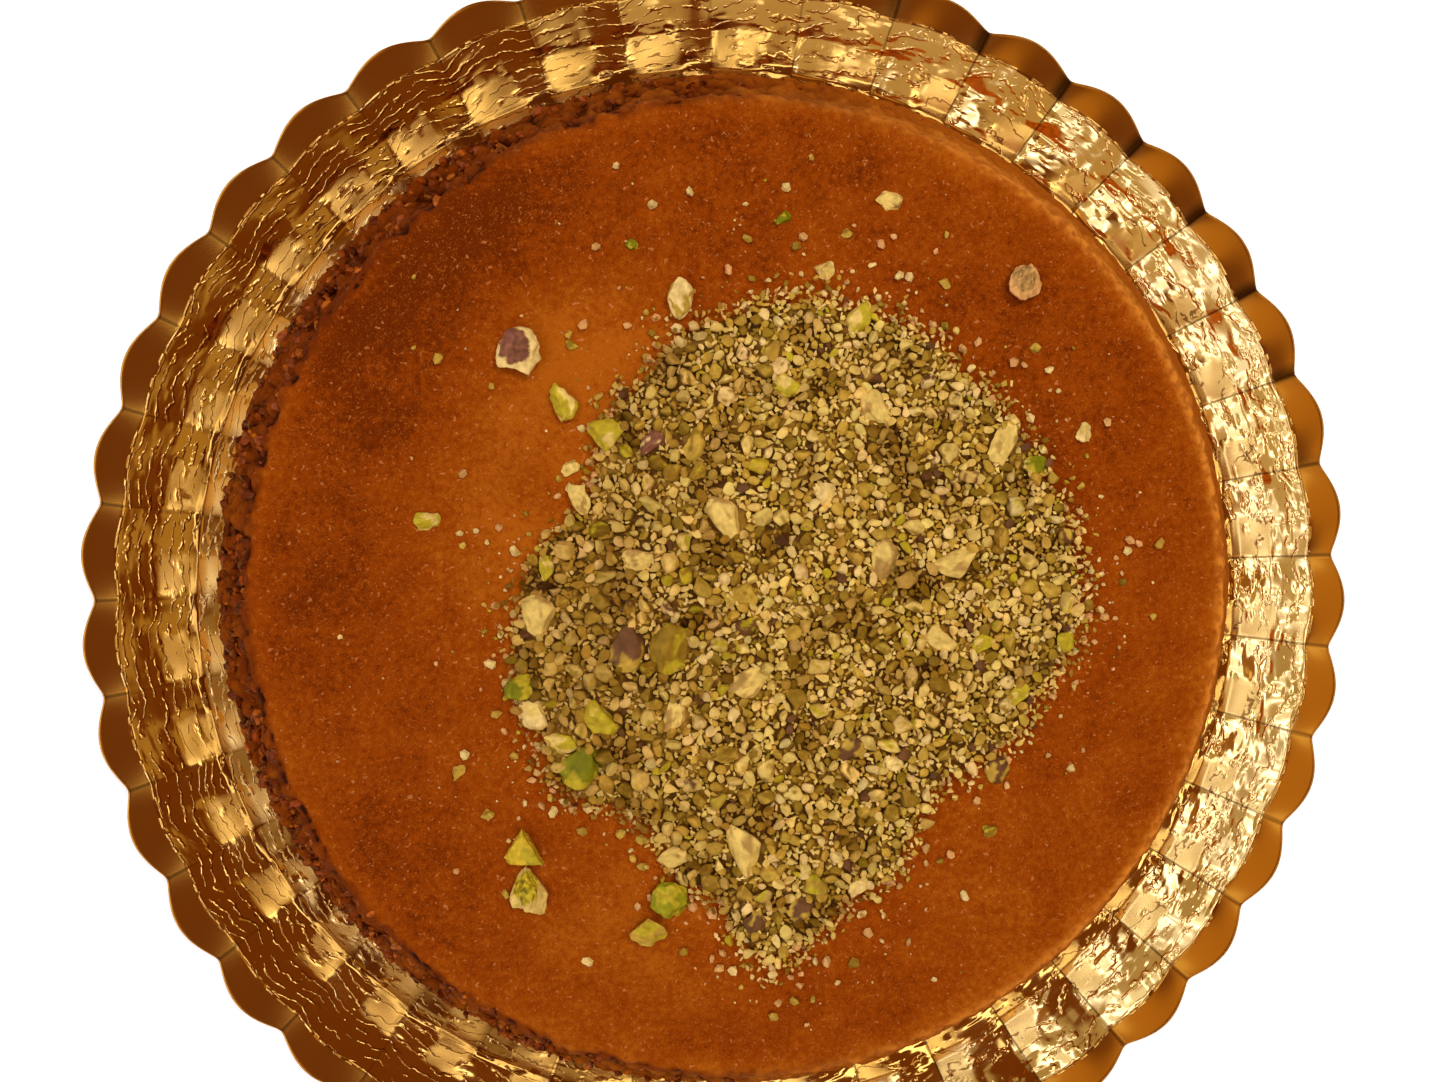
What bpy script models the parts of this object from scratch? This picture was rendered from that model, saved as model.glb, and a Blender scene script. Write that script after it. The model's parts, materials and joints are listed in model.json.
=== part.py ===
"""A round kunafa on its scalloped gold foil plate, topped with chopped pistachios.

Metres, +Z up. The origin is on the plate's axis, level with its underside, so the object
stands on the plane z = 0. Angles run anticlockwise from +X.
"""

import math
import random

import bmesh
import bpy
from mathutils import Matrix, Vector, geometry, noise

MM = 0.001
TURN = 2.0 * math.pi
GAP = 0.3 * MM                        # clearance kept between pieces that touch

# Plate: thin foil-faced card, with a flat floor, a fluted wall and a smooth outer lip.
PLATE_RADIUS = 140.0 * MM             # to the tips of the scallops
CREASE_RADIUS = 137.3 * MM            # edge of the lip where two scallops meet
PLATE_HEIGHT = 12.5 * MM              # to the top of the lip, at the middle of a scallop
CARD = 1.0 * MM                       # thickness of the card
SCALLOPS = 41
FIRST_CREASE = math.radians(4.1)      # direction of one crease, which the others follow
STEPS_PER_SCALLOP = 4
FLOOR_RADIUS = 120.5 * MM             # foot of the wall
LIP_RADIUS = 133.0 * MM               # top of the wall, where the lip begins
SCALLOP_RISE = 1.0 * MM               # each scallop arches up between its creases

# Kunafa: an uncut disc turned out of its tray, so its side slopes out to the base.
KUNAFA_CENTRE = Vector((1.8 * MM, 2.0 * MM, 0.0))
KUNAFA_BASE_RADIUS = 116.5 * MM
KUNAFA_SHOULDER_RADIUS = 106.5 * MM   # where the side rounds over into the top
KUNAFA_BOTTOM = CARD + GAP
KUNAFA_TOP = 20.0 * MM
SHOULDER_DROP = 2.6 * MM              # height of the rounded shoulder
SHOULDER_INSET = 4.5 * MM             # width of the rounded shoulder
KUNAFA_STEPS = 168
SIDE_STEPS = 5
CRAG_DEPTH = 3.8 * MM                 # relief of the torn crust on its roughest side
CRAG_SIZE = 6.5 * MM
ROUGH_SIDE = math.radians(178.0)      # direction in which the side is most ragged
ROUGH_SPREAD = 0.72                   # 1 would end the ragged part 90 degrees to each side
ROUGH_INSET = 1.3 * MM                # how far the torn side has lost its upper edge
SMOOTH_SIDE_SHARE = 0.34              # what is left of the relief on the smooth side

# Heap of chopped pistachios: outline seen from above, round its own centre.
HEAP_CENTRE = Vector((12.0 * MM, 0.0, 0.0))
HEAP_OUTLINE_MM = [
    (75, 1), (67, 27), (52, 46), (33, 60), (13, 64), (-8, 58), (-21, 45), (-31, 22), (-44, 4),
    (-46, -10), (-42, -24), (-37, -37), (-20, -45), (-6, -61), (7, -76), (29, -61), (44, -39),
    (64, -23),
]
HEAP_BASE = KUNAFA_TOP + GAP
HEAP_EDGE = 0.9 * MM                  # thickness of the core at its outline
HEAP_RISE = 2.4 * MM                  # how far the core's middle stands above its edge
HEAP_STEPS = 64
OUTLINE_STRAY = 2.0 * MM
HEAP_MESH = 6.0 * MM                  # spacing of the core's points, about two grains
HEAP_LUMP = 0.6 * MM                  # unevenness of the core
GRAIN_COUNT = 106                     # coarse grains spread over the core
GRAIN_SIZES = (3.0 * MM, 5.2 * MM)
GRAIN_SEED = 11

# Chopped pieces: x, y of the middle, length, width (mm) and turn (degrees), in the plan.
# Large pieces that lie on the crust by themselves, each a node of its own.
LONE_PIECES = {
    "pistachio_piece_purple": (-44.7, 53.6, 10.2, 8.2, 50),
    "pistachio_piece_pale": (61.9, 68.6, 8.0, 6.8, 80),
    "pistachio_piece_slab": (-11.4, 65.0, 8.9, 5.8, 85),
    "pistachio_piece_triangle": (-44.5, -50.9, 8.4, 8.0, 0),
    "pistachio_piece_speckled": (-43.9, -60.6, 10.2, 8.0, 85),
    "pistachio_piece_green": (-14.1, -63.0, 8.0, 7.4, 10),
    "pistachio_piece_pear": (-35.6, 42.6, 8.5, 6.2, 100),
    "pistachio_piece_low": (-18.3, -70.0, 8.3, 6.4, 15),
}
# The straight sides of the three-cornered piece: direction in degrees, distance in its widths.
TRIANGLE_SIDES = ((-90.0, 0.30), (28.0, 0.20), (152.0, 0.24))
# Small pieces that are stuck to the crust.
STUCK_PIECES = [
    (57.5, -36.0, 6.8, 6.0, 70), (-64.5, 18.0, 5.8, 4.3, 10), (33.0, 86.0, 5.6, 4.5, -20),
    (10.5, 82.0, 3.7, 3.1, 0), (76.0, 37.0, 4.5, 3.7, 80), (56.0, -50.0, 3.3, 2.7, 0),
    (-58.5, -35.5, 3.9, 2.7, 80), (-52.5, -44.5, 3.1, 2.3, 0), (-34.5, 29.0, 4.3, 3.5, 60),
    (24.0, 79.0, 2.7, 2.3, 0), (-21.5, 76.0, 2.9, 2.5, 0), (-34.0, 55.0, 2.7, 2.3, 0),
    (-31.5, -77.0, 2.7, 2.1, 0), (45.0, 68.5, 2.7, 2.3, 0), (19.5, 71.0, 4.3, 3.5, 20),
    (65.0, 55.0, 2.7, 2.3, 0),
]
# The largest pieces and whole kernels on the heap.
HEAP_KERNELS = [
    (-27.0, 36.0, 8.1, 7.2, 0), (57.5, 34.5, 10.2, 6.0, 80), (-45.5, -17.0, 6.2, 5.8, 0),
    (-42.5, -23.0, 7.6, 6.2, -30), (-41.0, -2.0, 10.2, 7.4, 100), (-32.5, -34.0, 10.2, 8.1, 60),
    (27.0, -61.5, 4.8, 4.5, 0), (-13.0, -54.0, 7.6, 4.8, 10), (-36.5, -29.0, 7.4, 4.8, 10),
    (72.0, -8.0, 5.8, 4.7, 40), (61.5, -19.5, 5.8, 4.1, 60), (-1.5, 18.5, 11.6, 6.4, 125),
    (-13.5, -9.0, 11.6, 9.3, 70), (-22.5, -8.5, 11.2, 7.4, 80), (3.0, -16.5, 9.9, 6.0, 25),
    (47.0, 8.5, 10.2, 6.0, 20), (31.5, 10.0, 8.5, 7.2, 120), (44.0, -7.0, 7.8, 5.8, 0),
    (2.5, -52.0, 12.6, 6.8, 110), (-28.5, -23.5, 8.7, 7.8, 0), (2.0, 2.5, 6.2, 5.2, 0),
    (-17.5, 34.0, 6.4, 4.8, 60), (-8.5, 34.0, 7.6, 4.8, 80), (29.5, 41.5, 8.5, 6.0, 110),
    (-20.0, 10.0, 7.6, 5.2, 10), (-12.5, -23.0, 8.5, 4.5, 70), (26.5, 61.0, 7.8, 5.2, 70),
    (19.0, 23.5, 5.4, 5.2, 0), (11.0, 46.5, 6.2, 5.4, 0), (53.5, -8.5, 5.4, 4.8, 0),
    (25.0, -30.5, 6.6, 5.4, 30), (14.0, -65.5, 6.8, 5.4, 20), (4.5, -68.0, 5.8, 4.8, 60),
    (65.0, 30.0, 5.2, 4.7, 30), (-39.5, 8.0, 5.8, 3.1, 100),
]
FLATNESS = 0.58                       # a piece's height as a share of its width
BURIED = 0.45                         # share of a piece's height that sinks into what holds it

COLOURS = {
    "foil_gold": ((0.60, 0.36, 0.10), 0.25, 1.0),
    "kunafa_crust": ((0.30, 0.070, 0.010), 0.55, 0.0),
    "pistachio_chopped": ((0.40, 0.28, 0.085), 0.75, 0.0),
    "pistachio_green": ((0.30, 0.32, 0.045), 0.7, 0.0),
    "pistachio_skin": ((0.22, 0.085, 0.055), 0.7, 0.0),
}
MATERIAL_OF_LONE_PIECE = {
    "pistachio_piece_purple": "pistachio_skin",
    "pistachio_piece_pale": "pistachio_chopped",
    "pistachio_piece_slab": "pistachio_chopped",
    "pistachio_piece_low": "pistachio_chopped",
}


# ---------------------------------------------------------------- helpers

def clear_scene():
    for thing in list(bpy.data.objects):
        bpy.data.objects.remove(thing, do_unlink=True)


def make_material(name):
    colour, roughness, metallic = COLOURS[name]
    material = bpy.data.materials.get(name) or bpy.data.materials.new(name)
    material.use_nodes = True
    shader = material.node_tree.nodes["Principled BSDF"]
    shader.inputs["Base Color"].default_value = (*colour, 1.0)
    shader.inputs["Roughness"].default_value = roughness
    shader.inputs["Metallic"].default_value = metallic
    return material


def make_object(name, mesh_builder, material_name, smooth_angle):
    mesh = bpy.data.meshes.new(name)
    mesh_builder.to_mesh(mesh)
    mesh_builder.free()
    mesh.materials.append(make_material(material_name))
    mesh.shade_smooth()
    mesh.set_sharp_from_angle(angle=smooth_angle)
    thing = bpy.data.objects.new(name, mesh)
    bpy.context.scene.collection.objects.link(thing)
    return thing


def ring_of_points(steps, point_at):
    return [point_at(TURN * step / steps) for step in range(steps)]


def skin_rings(mesh_builder, rings):
    """Quads between rings of points, which run from the lowest or innermost ring on."""
    rows = [[mesh_builder.verts.new(point) for point in ring] for ring in rings]
    for low, high in zip(rows, rows[1:]):
        for here in range(len(low)):
            there = (here + 1) % len(low)
            mesh_builder.faces.new((low[here], low[there], high[there], high[here]))
    return rows


# ---------------------------------------------------------------- plate

def scallop(angle):
    """0 at a crease, 1 in the middle of a scallop."""
    turns = (angle - FIRST_CREASE) * SCALLOPS / TURN
    return math.sin(math.pi * (turns % 1.0))


def build_plate():
    """The sheet's upper face, ring by ring, thickened downwards to the card."""
    crease_height = PLATE_HEIGHT - SCALLOP_RISE
    wall = LIP_RADIUS - FLOOR_RADIUS
    tip = PLATE_RADIUS - CREASE_RADIUS
    # radius and height at the creases, then what a scallop adds to each in its middle
    profile = [
        (FLOOR_RADIUS - 0.5 * MM, CARD, 0.0, 0.0),
        (FLOOR_RADIUS + 0.08 * wall, CARD + 0.45 * MM, -0.1 * MM, 0.25 * SCALLOP_RISE),
        (FLOOR_RADIUS + 0.52 * wall, 4.6 * MM, -0.3 * MM, 0.75 * SCALLOP_RISE),
        (LIP_RADIUS, 9.6 * MM, 0.15 * tip, 0.8 * SCALLOP_RISE),
        (CREASE_RADIUS, crease_height, tip, SCALLOP_RISE),
    ]
    steps = SCALLOPS * STEPS_PER_SCALLOP

    def ring(radius, height, grow, rise):
        def point(angle):
            turned = angle + FIRST_CREASE
            share = scallop(turned)
            reach = radius + grow * share
            return (reach * math.cos(turned), reach * math.sin(turned), height + rise * share)
        return ring_of_points(steps, point)

    builder = bmesh.new()
    rows = skin_rings(builder, [ring(*row) for row in profile])
    builder.faces.new(rows[0])
    bmesh.ops.recalc_face_normals(builder, faces=builder.faces)
    builder.normal_update()
    if rows[0][0].normal.z < 0.0:
        bmesh.ops.reverse_faces(builder, faces=builder.faces)
    plate = make_object("foil_plate", builder, "foil_gold", math.radians(40))
    thicken = plate.modifiers.new("card", "SOLIDIFY")
    thicken.thickness = CARD
    thicken.offset = -1.0


# ---------------------------------------------------------------- kunafa

def rough_share(angle):
    """1 where the side is most torn, 0 where it is smooth."""
    away = abs((angle - ROUGH_SIDE + math.pi) % TURN - math.pi)
    return max(0.0, math.cos(min(away * ROUGH_SPREAD, math.pi / 2)))


def raggedness(angle):
    """1 where the side is most torn, SMOOTH_SIDE_SHARE where it is smooth."""
    return SMOOTH_SIDE_SHARE + (1.0 - SMOOTH_SIDE_SHARE) * rough_share(angle)


def crag(angle, radius, height):
    """Relief of the torn side, from broad lumps and sharper ridges."""
    spot = Vector((radius * math.cos(angle), radius * math.sin(angle), height)) / CRAG_SIZE
    broad = noise.noise(spot)
    ridge = 1.0 - 2.0 * abs(noise.noise(spot * 1.9 + Vector((7.0, 3.0, 5.0))))
    return raggedness(angle) * CRAG_DEPTH * (0.8 * broad + 0.5 * (ridge - 0.5))


def kunafa_profile():
    """Radius, height, and the shares of crag relief and inset, from the base to the flat top."""
    shoulder_start = KUNAFA_TOP - SHOULDER_DROP
    rows = []
    for step in range(SIDE_STEPS + 1):
        share = step / SIDE_STEPS
        radius = KUNAFA_BASE_RADIUS + (KUNAFA_SHOULDER_RADIUS - KUNAFA_BASE_RADIUS) * share
        height = KUNAFA_BOTTOM + (shoulder_start - KUNAFA_BOTTOM) * share
        rows.append((radius, height, 0.5 + 1.6 * share - 1.8 * share ** 2, share))
    for turn in (35.0, 65.0, 90.0):
        along = math.radians(turn)
        radius = KUNAFA_SHOULDER_RADIUS - SHOULDER_INSET * (1.0 - math.cos(along))
        height = shoulder_start + SHOULDER_DROP * math.sin(along)
        rows.append((radius, height, 0.25 * math.cos(along), 1.0))
    return rows


def build_kunafa():
    def ring(radius, height, relief, inset):
        def point(angle):
            reach = radius + relief * crag(angle, radius, height) - inset * ROUGH_INSET * rough_share(angle)
            return KUNAFA_CENTRE + Vector((reach * math.cos(angle), reach * math.sin(angle), height))
        return ring_of_points(KUNAFA_STEPS, point)

    builder = bmesh.new()
    rows = skin_rings(builder, [ring(*row) for row in kunafa_profile()])
    builder.faces.new(list(reversed(rows[0])))
    builder.faces.new(rows[-1])
    kunafa = make_object("kunafa", builder, "kunafa_crust", math.radians(35))
    pieces = [
        make_piece("stuck_piece", place, KUNAFA_TOP, KUNAFA_TOP - 1.0 * MM, seed, 1, "pistachio_chopped")
        for seed, place in enumerate(STUCK_PIECES)
    ]
    fuse(kunafa, pieces)


# ---------------------------------------------------------------- chopped pistachios

def cut_sides(builder, sides):
    """Gives a one-unit lump straight sides, then spreads it to one unit again in the plan."""
    for direction, distance in sides:
        way = Vector((math.cos(math.radians(direction)), math.sin(math.radians(direction)), 0.0))
        for vert in builder.verts:
            vert.co -= max(0.0, vert.co.dot(way) - distance) * way
    for axis in (0, 1):
        values = [vert.co[axis] for vert in builder.verts]
        low, high = min(values), max(values)
        for vert in builder.verts:
            vert.co[axis] = (vert.co[axis] - low) / (high - low) - 0.5


def make_piece(name, place, ground, lowest, seed, subdivisions, material_name, sides=()):
    """One angular chopped piece, resting or sunk at the height `ground`, cut flat at `lowest`."""
    x, y, length, width, turn = place
    rng = random.Random(seed * 7919 + subdivisions)
    builder = bmesh.new()
    bmesh.ops.create_icosphere(builder, subdivisions=subdivisions, radius=0.5)
    height = width * FLATNESS
    shift = Vector((rng.uniform(0, 50), rng.uniform(0, 50), rng.uniform(0, 50)))
    for vert in builder.verts:
        vert.co *= 1.0 + 0.34 * noise.noise(vert.co * 3.1 + shift)
    if sides:
        cut_sides(builder, sides)
    for vert in builder.verts:
        vert.co = Vector((vert.co.x * length, vert.co.y * width, vert.co.z * height)) * MM
    middle = ground + height * MM * (0.5 - BURIED)
    frame = Matrix.Translation((x * MM, y * MM, middle)) @ Matrix.Rotation(math.radians(turn), 4, "Z")
    builder.transform(frame)
    for vert in builder.verts:
        vert.co.z = max(vert.co.z, lowest)
    bmesh.ops.dissolve_degenerate(builder, edges=builder.edges, dist=0.01 * MM)
    return make_object(name, builder, material_name, math.radians(50))


def build_lone_pieces():
    for seed, (name, place) in enumerate(LONE_PIECES.items()):
        width = place[3] * MM
        ground = HEAP_BASE + width * FLATNESS * (BURIED - 0.12)
        material_name = MATERIAL_OF_LONE_PIECE.get(name, "pistachio_green")
        sides = TRIANGLE_SIDES if name == "pistachio_piece_triangle" else ()
        make_piece(name, place, ground, HEAP_BASE, seed + 40, 2, material_name, sides)


def outline_radius(angle):
    """Distance from the heap's centre to its outline, eased between the outline's points."""
    polar = []
    for x, y in HEAP_OUTLINE_MM:
        offset = Vector((x * MM, y * MM, 0.0)) - HEAP_CENTRE
        polar.append((math.atan2(offset.y, offset.x) % TURN, offset.length))
    polar.sort()
    polar = [(polar[-1][0] - TURN, polar[-1][1])] + polar + [(polar[0][0] + TURN, polar[0][1])]
    angle %= TURN
    for (start, near), (end, far) in zip(polar, polar[1:]):
        if start <= angle <= end:
            share = 0.5 - 0.5 * math.cos(math.pi * (angle - start) / (end - start))
            return near + (far - near) * share
    return polar[0][1]


def heap_height(share):
    """Height of the core's upper face, at a share of the way from its centre to its outline."""
    return HEAP_BASE + HEAP_EDGE + HEAP_RISE * (1.0 - min(share, 1.0) ** 2.2)


def heap_plan():
    """Points of the core in the plan: its outline, then a jittered lattice inside it."""
    outline = ring_of_points(HEAP_STEPS, outline_point)
    rng = random.Random(GRAIN_SEED)
    inner = []
    reach = max(abs(value) * MM for point in HEAP_OUTLINE_MM for value in point) + HEAP_CENTRE.length
    count = int(reach / HEAP_MESH) + 1
    for row in range(-count, count + 1):
        for column in range(-count, count + 1):
            x = (column + 0.5 * (row % 2) + rng.uniform(-0.2, 0.2)) * HEAP_MESH
            y = (row * math.sqrt(0.75) + rng.uniform(-0.2, 0.2)) * HEAP_MESH
            offset = Vector((x, y, 0.0))
            if offset.length < outline_radius(math.atan2(y, x)) - 0.7 * HEAP_MESH:
                inner.append(HEAP_CENTRE + offset)
    return outline, inner


def outline_point(angle):
    """A point of the core's outline, which strays a little from the drawn one."""
    way = Vector((math.cos(angle), math.sin(angle), 0.0))
    return HEAP_CENTRE + way * (outline_radius(angle) + OUTLINE_STRAY * noise.noise(way * 9.0))


def build_heap():
    """The core: a lumpy upper face over a flat underside, with the pieces fused on."""
    outline, inner = heap_plan()
    plan = [Vector((point.x, point.y)) for point in outline + inner]
    border = list(range(len(outline)))
    triangles = geometry.delaunay_2d_cdt(plan, [], [border], 1, 0.01 * MM)[2]
    rng = random.Random(GRAIN_SEED + 1)
    builder = bmesh.new()
    upper = []
    for number, point in enumerate(plan):
        lump = HEAP_LUMP * rng.uniform(-1.0, 1.0) if number >= len(outline) else 0.0
        height = heap_height(share_of_outline(point.x / MM, point.y / MM)) + lump
        upper.append(builder.verts.new((point.x, point.y, height)))
    lower = [builder.verts.new((point.x, point.y, HEAP_BASE)) for point in outline]
    for corners in triangles:
        builder.faces.new([upper[corner] for corner in corners])
    for here in border:
        there = (here + 1) % len(border)
        builder.faces.new((lower[here], lower[there], upper[there], upper[here]))
    builder.faces.new(list(reversed(lower)))
    heap = make_object("pistachio_heap", builder, "pistachio_chopped", math.radians(50))
    places = HEAP_KERNELS + spread_grains()
    fuse(heap, [heap_piece(place, seed + 100) for seed, place in enumerate(places)])


def share_of_outline(x, y):
    offset = Vector((x * MM, y * MM, 0.0)) - HEAP_CENTRE
    return offset.length / outline_radius(math.atan2(offset.y, offset.x))


def heap_piece(place, seed):
    x, y = place[:2]
    ground = heap_height(share_of_outline(x, y))
    return make_piece("heap_piece", place, ground, HEAP_BASE + 0.3 * MM, seed, 1, "pistachio_chopped")


def spread_grains():
    """Coarse grains on a sunflower spiral over the core, clear of the large kernels."""
    rng = random.Random(GRAIN_SEED)
    golden = math.pi * (3.0 - math.sqrt(5.0))
    grains = []
    for number in range(GRAIN_COUNT):
        angle = number * golden + rng.uniform(-0.15, 0.15)
        length = rng.uniform(*GRAIN_SIZES) / MM
        reach = math.sqrt((number + 0.5) / GRAIN_COUNT) * (outline_radius(angle) - 0.5 * length * MM)
        x = (HEAP_CENTRE.x + reach * math.cos(angle)) / MM
        y = (HEAP_CENTRE.y + reach * math.sin(angle)) / MM
        grain = (x, y, length, length * rng.uniform(0.7, 0.95), rng.uniform(0.0, 180.0))
        if all(math.hypot(x - k[0], y - k[1]) > 0.5 * (k[2] + length) * 0.8 for k in HEAP_KERNELS):
            grains.append(grain)
    return grains


# ---------------------------------------------------------------- fusing

def fuse(body, pieces):
    """Joins the pieces to the body by one Boolean union, and keeps its outer shell alone."""
    group = bpy.data.collections.new("pieces_to_fuse")
    for piece in pieces:
        group.objects.link(piece)
    union = body.modifiers.new("fuse", "BOOLEAN")
    union.operation = "UNION"
    union.operand_type = "COLLECTION"
    union.collection = group
    bpy.context.view_layer.update()
    evaluated = body.evaluated_get(bpy.context.evaluated_depsgraph_get())
    fused = bpy.data.meshes.new_from_object(evaluated)
    body.modifiers.clear()
    body.data = fused
    for piece in pieces:
        bpy.data.objects.remove(piece, do_unlink=True)
    bpy.data.collections.remove(group)
    keep_outer_shell(fused)


def keep_outer_shell(mesh):
    """Drops loose scraps and sealed hollows: all but the largest connected shell."""
    builder = bmesh.new()
    builder.from_mesh(mesh)
    bmesh.ops.remove_doubles(builder, verts=builder.verts, dist=0.005 * MM)
    bmesh.ops.triangulate(builder, faces=builder.faces)
    bmesh.ops.dissolve_degenerate(builder, edges=builder.edges, dist=0.005 * MM)
    unseen = set(builder.faces)
    shells = []
    while unseen:
        start = unseen.pop()
        shell, front = [start], [start]
        while front:
            face = front.pop()
            for edge in face.edges:
                for other in edge.link_faces:
                    if other in unseen:
                        unseen.discard(other)
                        shell.append(other)
                        front.append(other)
        shells.append(shell)
    shells.sort(key=len)
    for shell in shells[:-1]:
        bmesh.ops.delete(builder, geom=shell, context="FACES")
    loose = [vert for vert in builder.verts if not vert.link_faces]
    bmesh.ops.delete(builder, geom=loose, context="VERTS")
    bmesh.ops.triangulate(builder, faces=builder.faces)
    builder.to_mesh(mesh)
    builder.free()


clear_scene()
build_plate()
build_kunafa()
build_heap()
build_lone_pieces()
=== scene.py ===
"""Looks of a round kunafa on its scalloped gold foil plate, topped with chopped pistachios.

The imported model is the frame. Each of its nodes is replaced, in place, by a fine mesh with a
procedural finish. Metres, +Z up, the origin on the plate's axis at its underside, and angles
anticlockwise from +X.
"""

import itertools
import json
import math
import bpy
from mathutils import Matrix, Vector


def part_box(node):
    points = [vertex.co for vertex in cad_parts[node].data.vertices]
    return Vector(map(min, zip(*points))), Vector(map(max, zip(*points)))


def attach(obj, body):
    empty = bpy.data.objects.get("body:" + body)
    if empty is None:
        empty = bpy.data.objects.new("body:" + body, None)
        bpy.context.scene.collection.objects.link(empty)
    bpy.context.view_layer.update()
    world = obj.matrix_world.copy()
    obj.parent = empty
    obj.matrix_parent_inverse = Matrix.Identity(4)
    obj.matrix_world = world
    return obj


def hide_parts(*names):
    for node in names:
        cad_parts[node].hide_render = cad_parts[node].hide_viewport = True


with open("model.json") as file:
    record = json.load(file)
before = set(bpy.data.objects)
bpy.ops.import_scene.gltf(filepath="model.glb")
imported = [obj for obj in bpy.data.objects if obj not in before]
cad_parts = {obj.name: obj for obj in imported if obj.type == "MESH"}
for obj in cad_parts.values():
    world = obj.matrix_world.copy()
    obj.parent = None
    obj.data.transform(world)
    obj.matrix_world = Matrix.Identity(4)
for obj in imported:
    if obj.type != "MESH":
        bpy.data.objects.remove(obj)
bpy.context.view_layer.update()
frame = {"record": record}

from types import SimpleNamespace

import bmesh
import bpy
import numpy as np
from mathutils import Matrix, Vector

MM = 0.001
TURN = 2.0 * math.pi

# Plate
PLATE_RADIUS = 140.0 * MM
CREASE_RADIUS = 137.3 * MM
PLATE_HEIGHT = 12.5 * MM
CARD = 1.0 * MM
SCALLOPS = 41
FIRST_CREASE = math.radians(4.1)
STEPS_PER_SCALLOP = 20
FLOOR_RADIUS = 120.5 * MM
LIP_RADIUS = 133.0 * MM
SCALLOP_RISE = 1.0 * MM
CREASE_ROUNDING = 0.10  # how softly a crease turns, against its scallop's height
EDGE_RADIUS = 0.4 * MM
EDGE_STEPS = 5
UNDER_STEP = 6  # the underside has one ring for so many of the foil's
MEAN_RADIUS = 130.0 * MM  # where the foil is measured round the plate
LINED_SIDE = math.pi - 0.17  # the middle of the side with long pressed lines
LINE_SPACING = 2.0 * MM
LINE_BOW = 1.2 * MM  # how far the pressed lines bow out in each scallop
PETAL_LEAN = 0.075  # how much flatter each scallop's petal is, a part of the wall's inner half
PETAL_HALF = 3.0 * MM  # half of a petal's reach up the wall
FACET_SIZE = 4.2 * MM
FACET_SLOPE = 0.018  # how much the foil's small facets lean
BOLD_FACET_SLOPE = 0.03  # the same on the right, where the foil is more crumpled
FLOOR_FLUTE = 0.50 * MM  # what is left of the flutes at the edge of the floor

# Kunafa
KUNAFA_CENTRE = np.array((1.8 * MM, 2.0 * MM, 0.0))
BASE_RADIUS = 116.5 * MM
SHOULDER_RADIUS = 106.5 * MM
KUNAFA_BOTTOM = 1.3 * MM
KUNAFA_TOP = 20.0 * MM
SHOULDER_DROP = 2.6 * MM
SHOULDER_INSET = 4.5 * MM
SHOULDER_FULLNESS = 0.62  # 1 is a plain ellipse, and less is fuller
TOP_STEPS = 236  # squares across the top's grid
SIDE_STEPS = 32
CRAG_DEPTH = 3.8 * MM
BURNT_REACH = 2.6 * MM  # how far the burnt side, also darkened with painted shade, comes in over the shoulder
ROUGH_SIDE = math.radians(178.0)
ROUGH_SPREAD = 0.72  # how narrow the rough side is
ROUGH_INSET = 1.3 * MM  # how much smaller the top is at its rough side
SMOOTH_SIDE_SHARE = 0.34  # the relief that the smooth side keeps
CRUMBS = 2600  # before those that would lie on the smooth side are left out
# lighter and darker parts of the crust: x, y and reach (mm), and how much lighter
CRUST_PATCHES = [
    (-32, 52, 20, 0.42), (-50, 14, 26, 0.30), (-18, -66, 30, 0.20), (52, -66, 26, 0.10),
    (90, 0, 14, 0.12), (-68, 30, 12, 0.06), (-82, 58, 20, -0.36), (-58, 84, 24, -0.46),
    (-73, 37, 14, -0.24), (-82, 4, 20, -0.30), (64, 62, 24, -0.14), (0, 98, 26, -0.16),
    (-74, -56, 22, -0.16), (72, 14, 30, -0.12), (10, -92, 30, -0.06),
]

# Heap
HEAP_CENTRE = np.array((12.0 * MM, 0.0, 0.0))
HEAP_OUTLINE_MM = [
    (75, 1), (67, 27), (52, 46), (33, 60), (13, 64), (-8, 58), (-21, 45), (-31, 22), (-44, 4),
    (-46, -10), (-42, -24), (-37, -37), (-20, -45), (-6, -61), (7, -76), (29, -61), (44, -39),
    (64, -23),
]
HEAP_BASE = KUNAFA_TOP + 0.3 * MM
HEAP_EDGE = 0.9 * MM
HEAP_RISE = 2.4 * MM
HEAP_FULLNESS = 2.2  # 1 is a plain cone, and more is flatter on top
HEAP_RADIUS = 60.0 * MM  # on average
HEAP_GRID = 150
COARSE = (2.9 * MM, 4.8 * MM)  # smallest and largest grains of each kind
MEDIUM = (1.5 * MM, 2.9 * MM)
FINE = (0.7 * MM, 1.5 * MM)
FLATNESS = 0.58  # of the large pieces, height against width
LARGEST_PIECE = 13.0 * MM
TRIES = 14  # at a free place for each grain
SCATTER_REACH = 98.0 * MM  # from the kunafa's axis
STRAYS = 0.007  # the share of the scatter that lies anywhere

# Colours, as sRGB from 0 to 255, matched to the photograph
PALE = (238, 208, 118)
CREAM = (242, 213, 140)
KHAKI = (200, 164, 66)
OLIVE = (158, 126, 38)
GREEN = (194, 174, 44)
DEEP_GREEN = (124, 124, 16)
LIME = (152, 150, 20)
YELLOW = (218, 188, 52)
SKIN = (112, 74, 46)
PURPLE = (134, 84, 66)
WARM = (226, 172, 108)
DUSTY = (184, 142, 84)
# the other colour in the patches of a piece on the heap or stuck to the crust
PATCHES = {
    PALE: (190, 152, 84), CREAM: PALE, KHAKI: OLIVE, OLIVE: GREEN, GREEN: PALE, DEEP_GREEN: GREEN,
    SKIN: KHAKI, PURPLE: CREAM,
}


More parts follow.
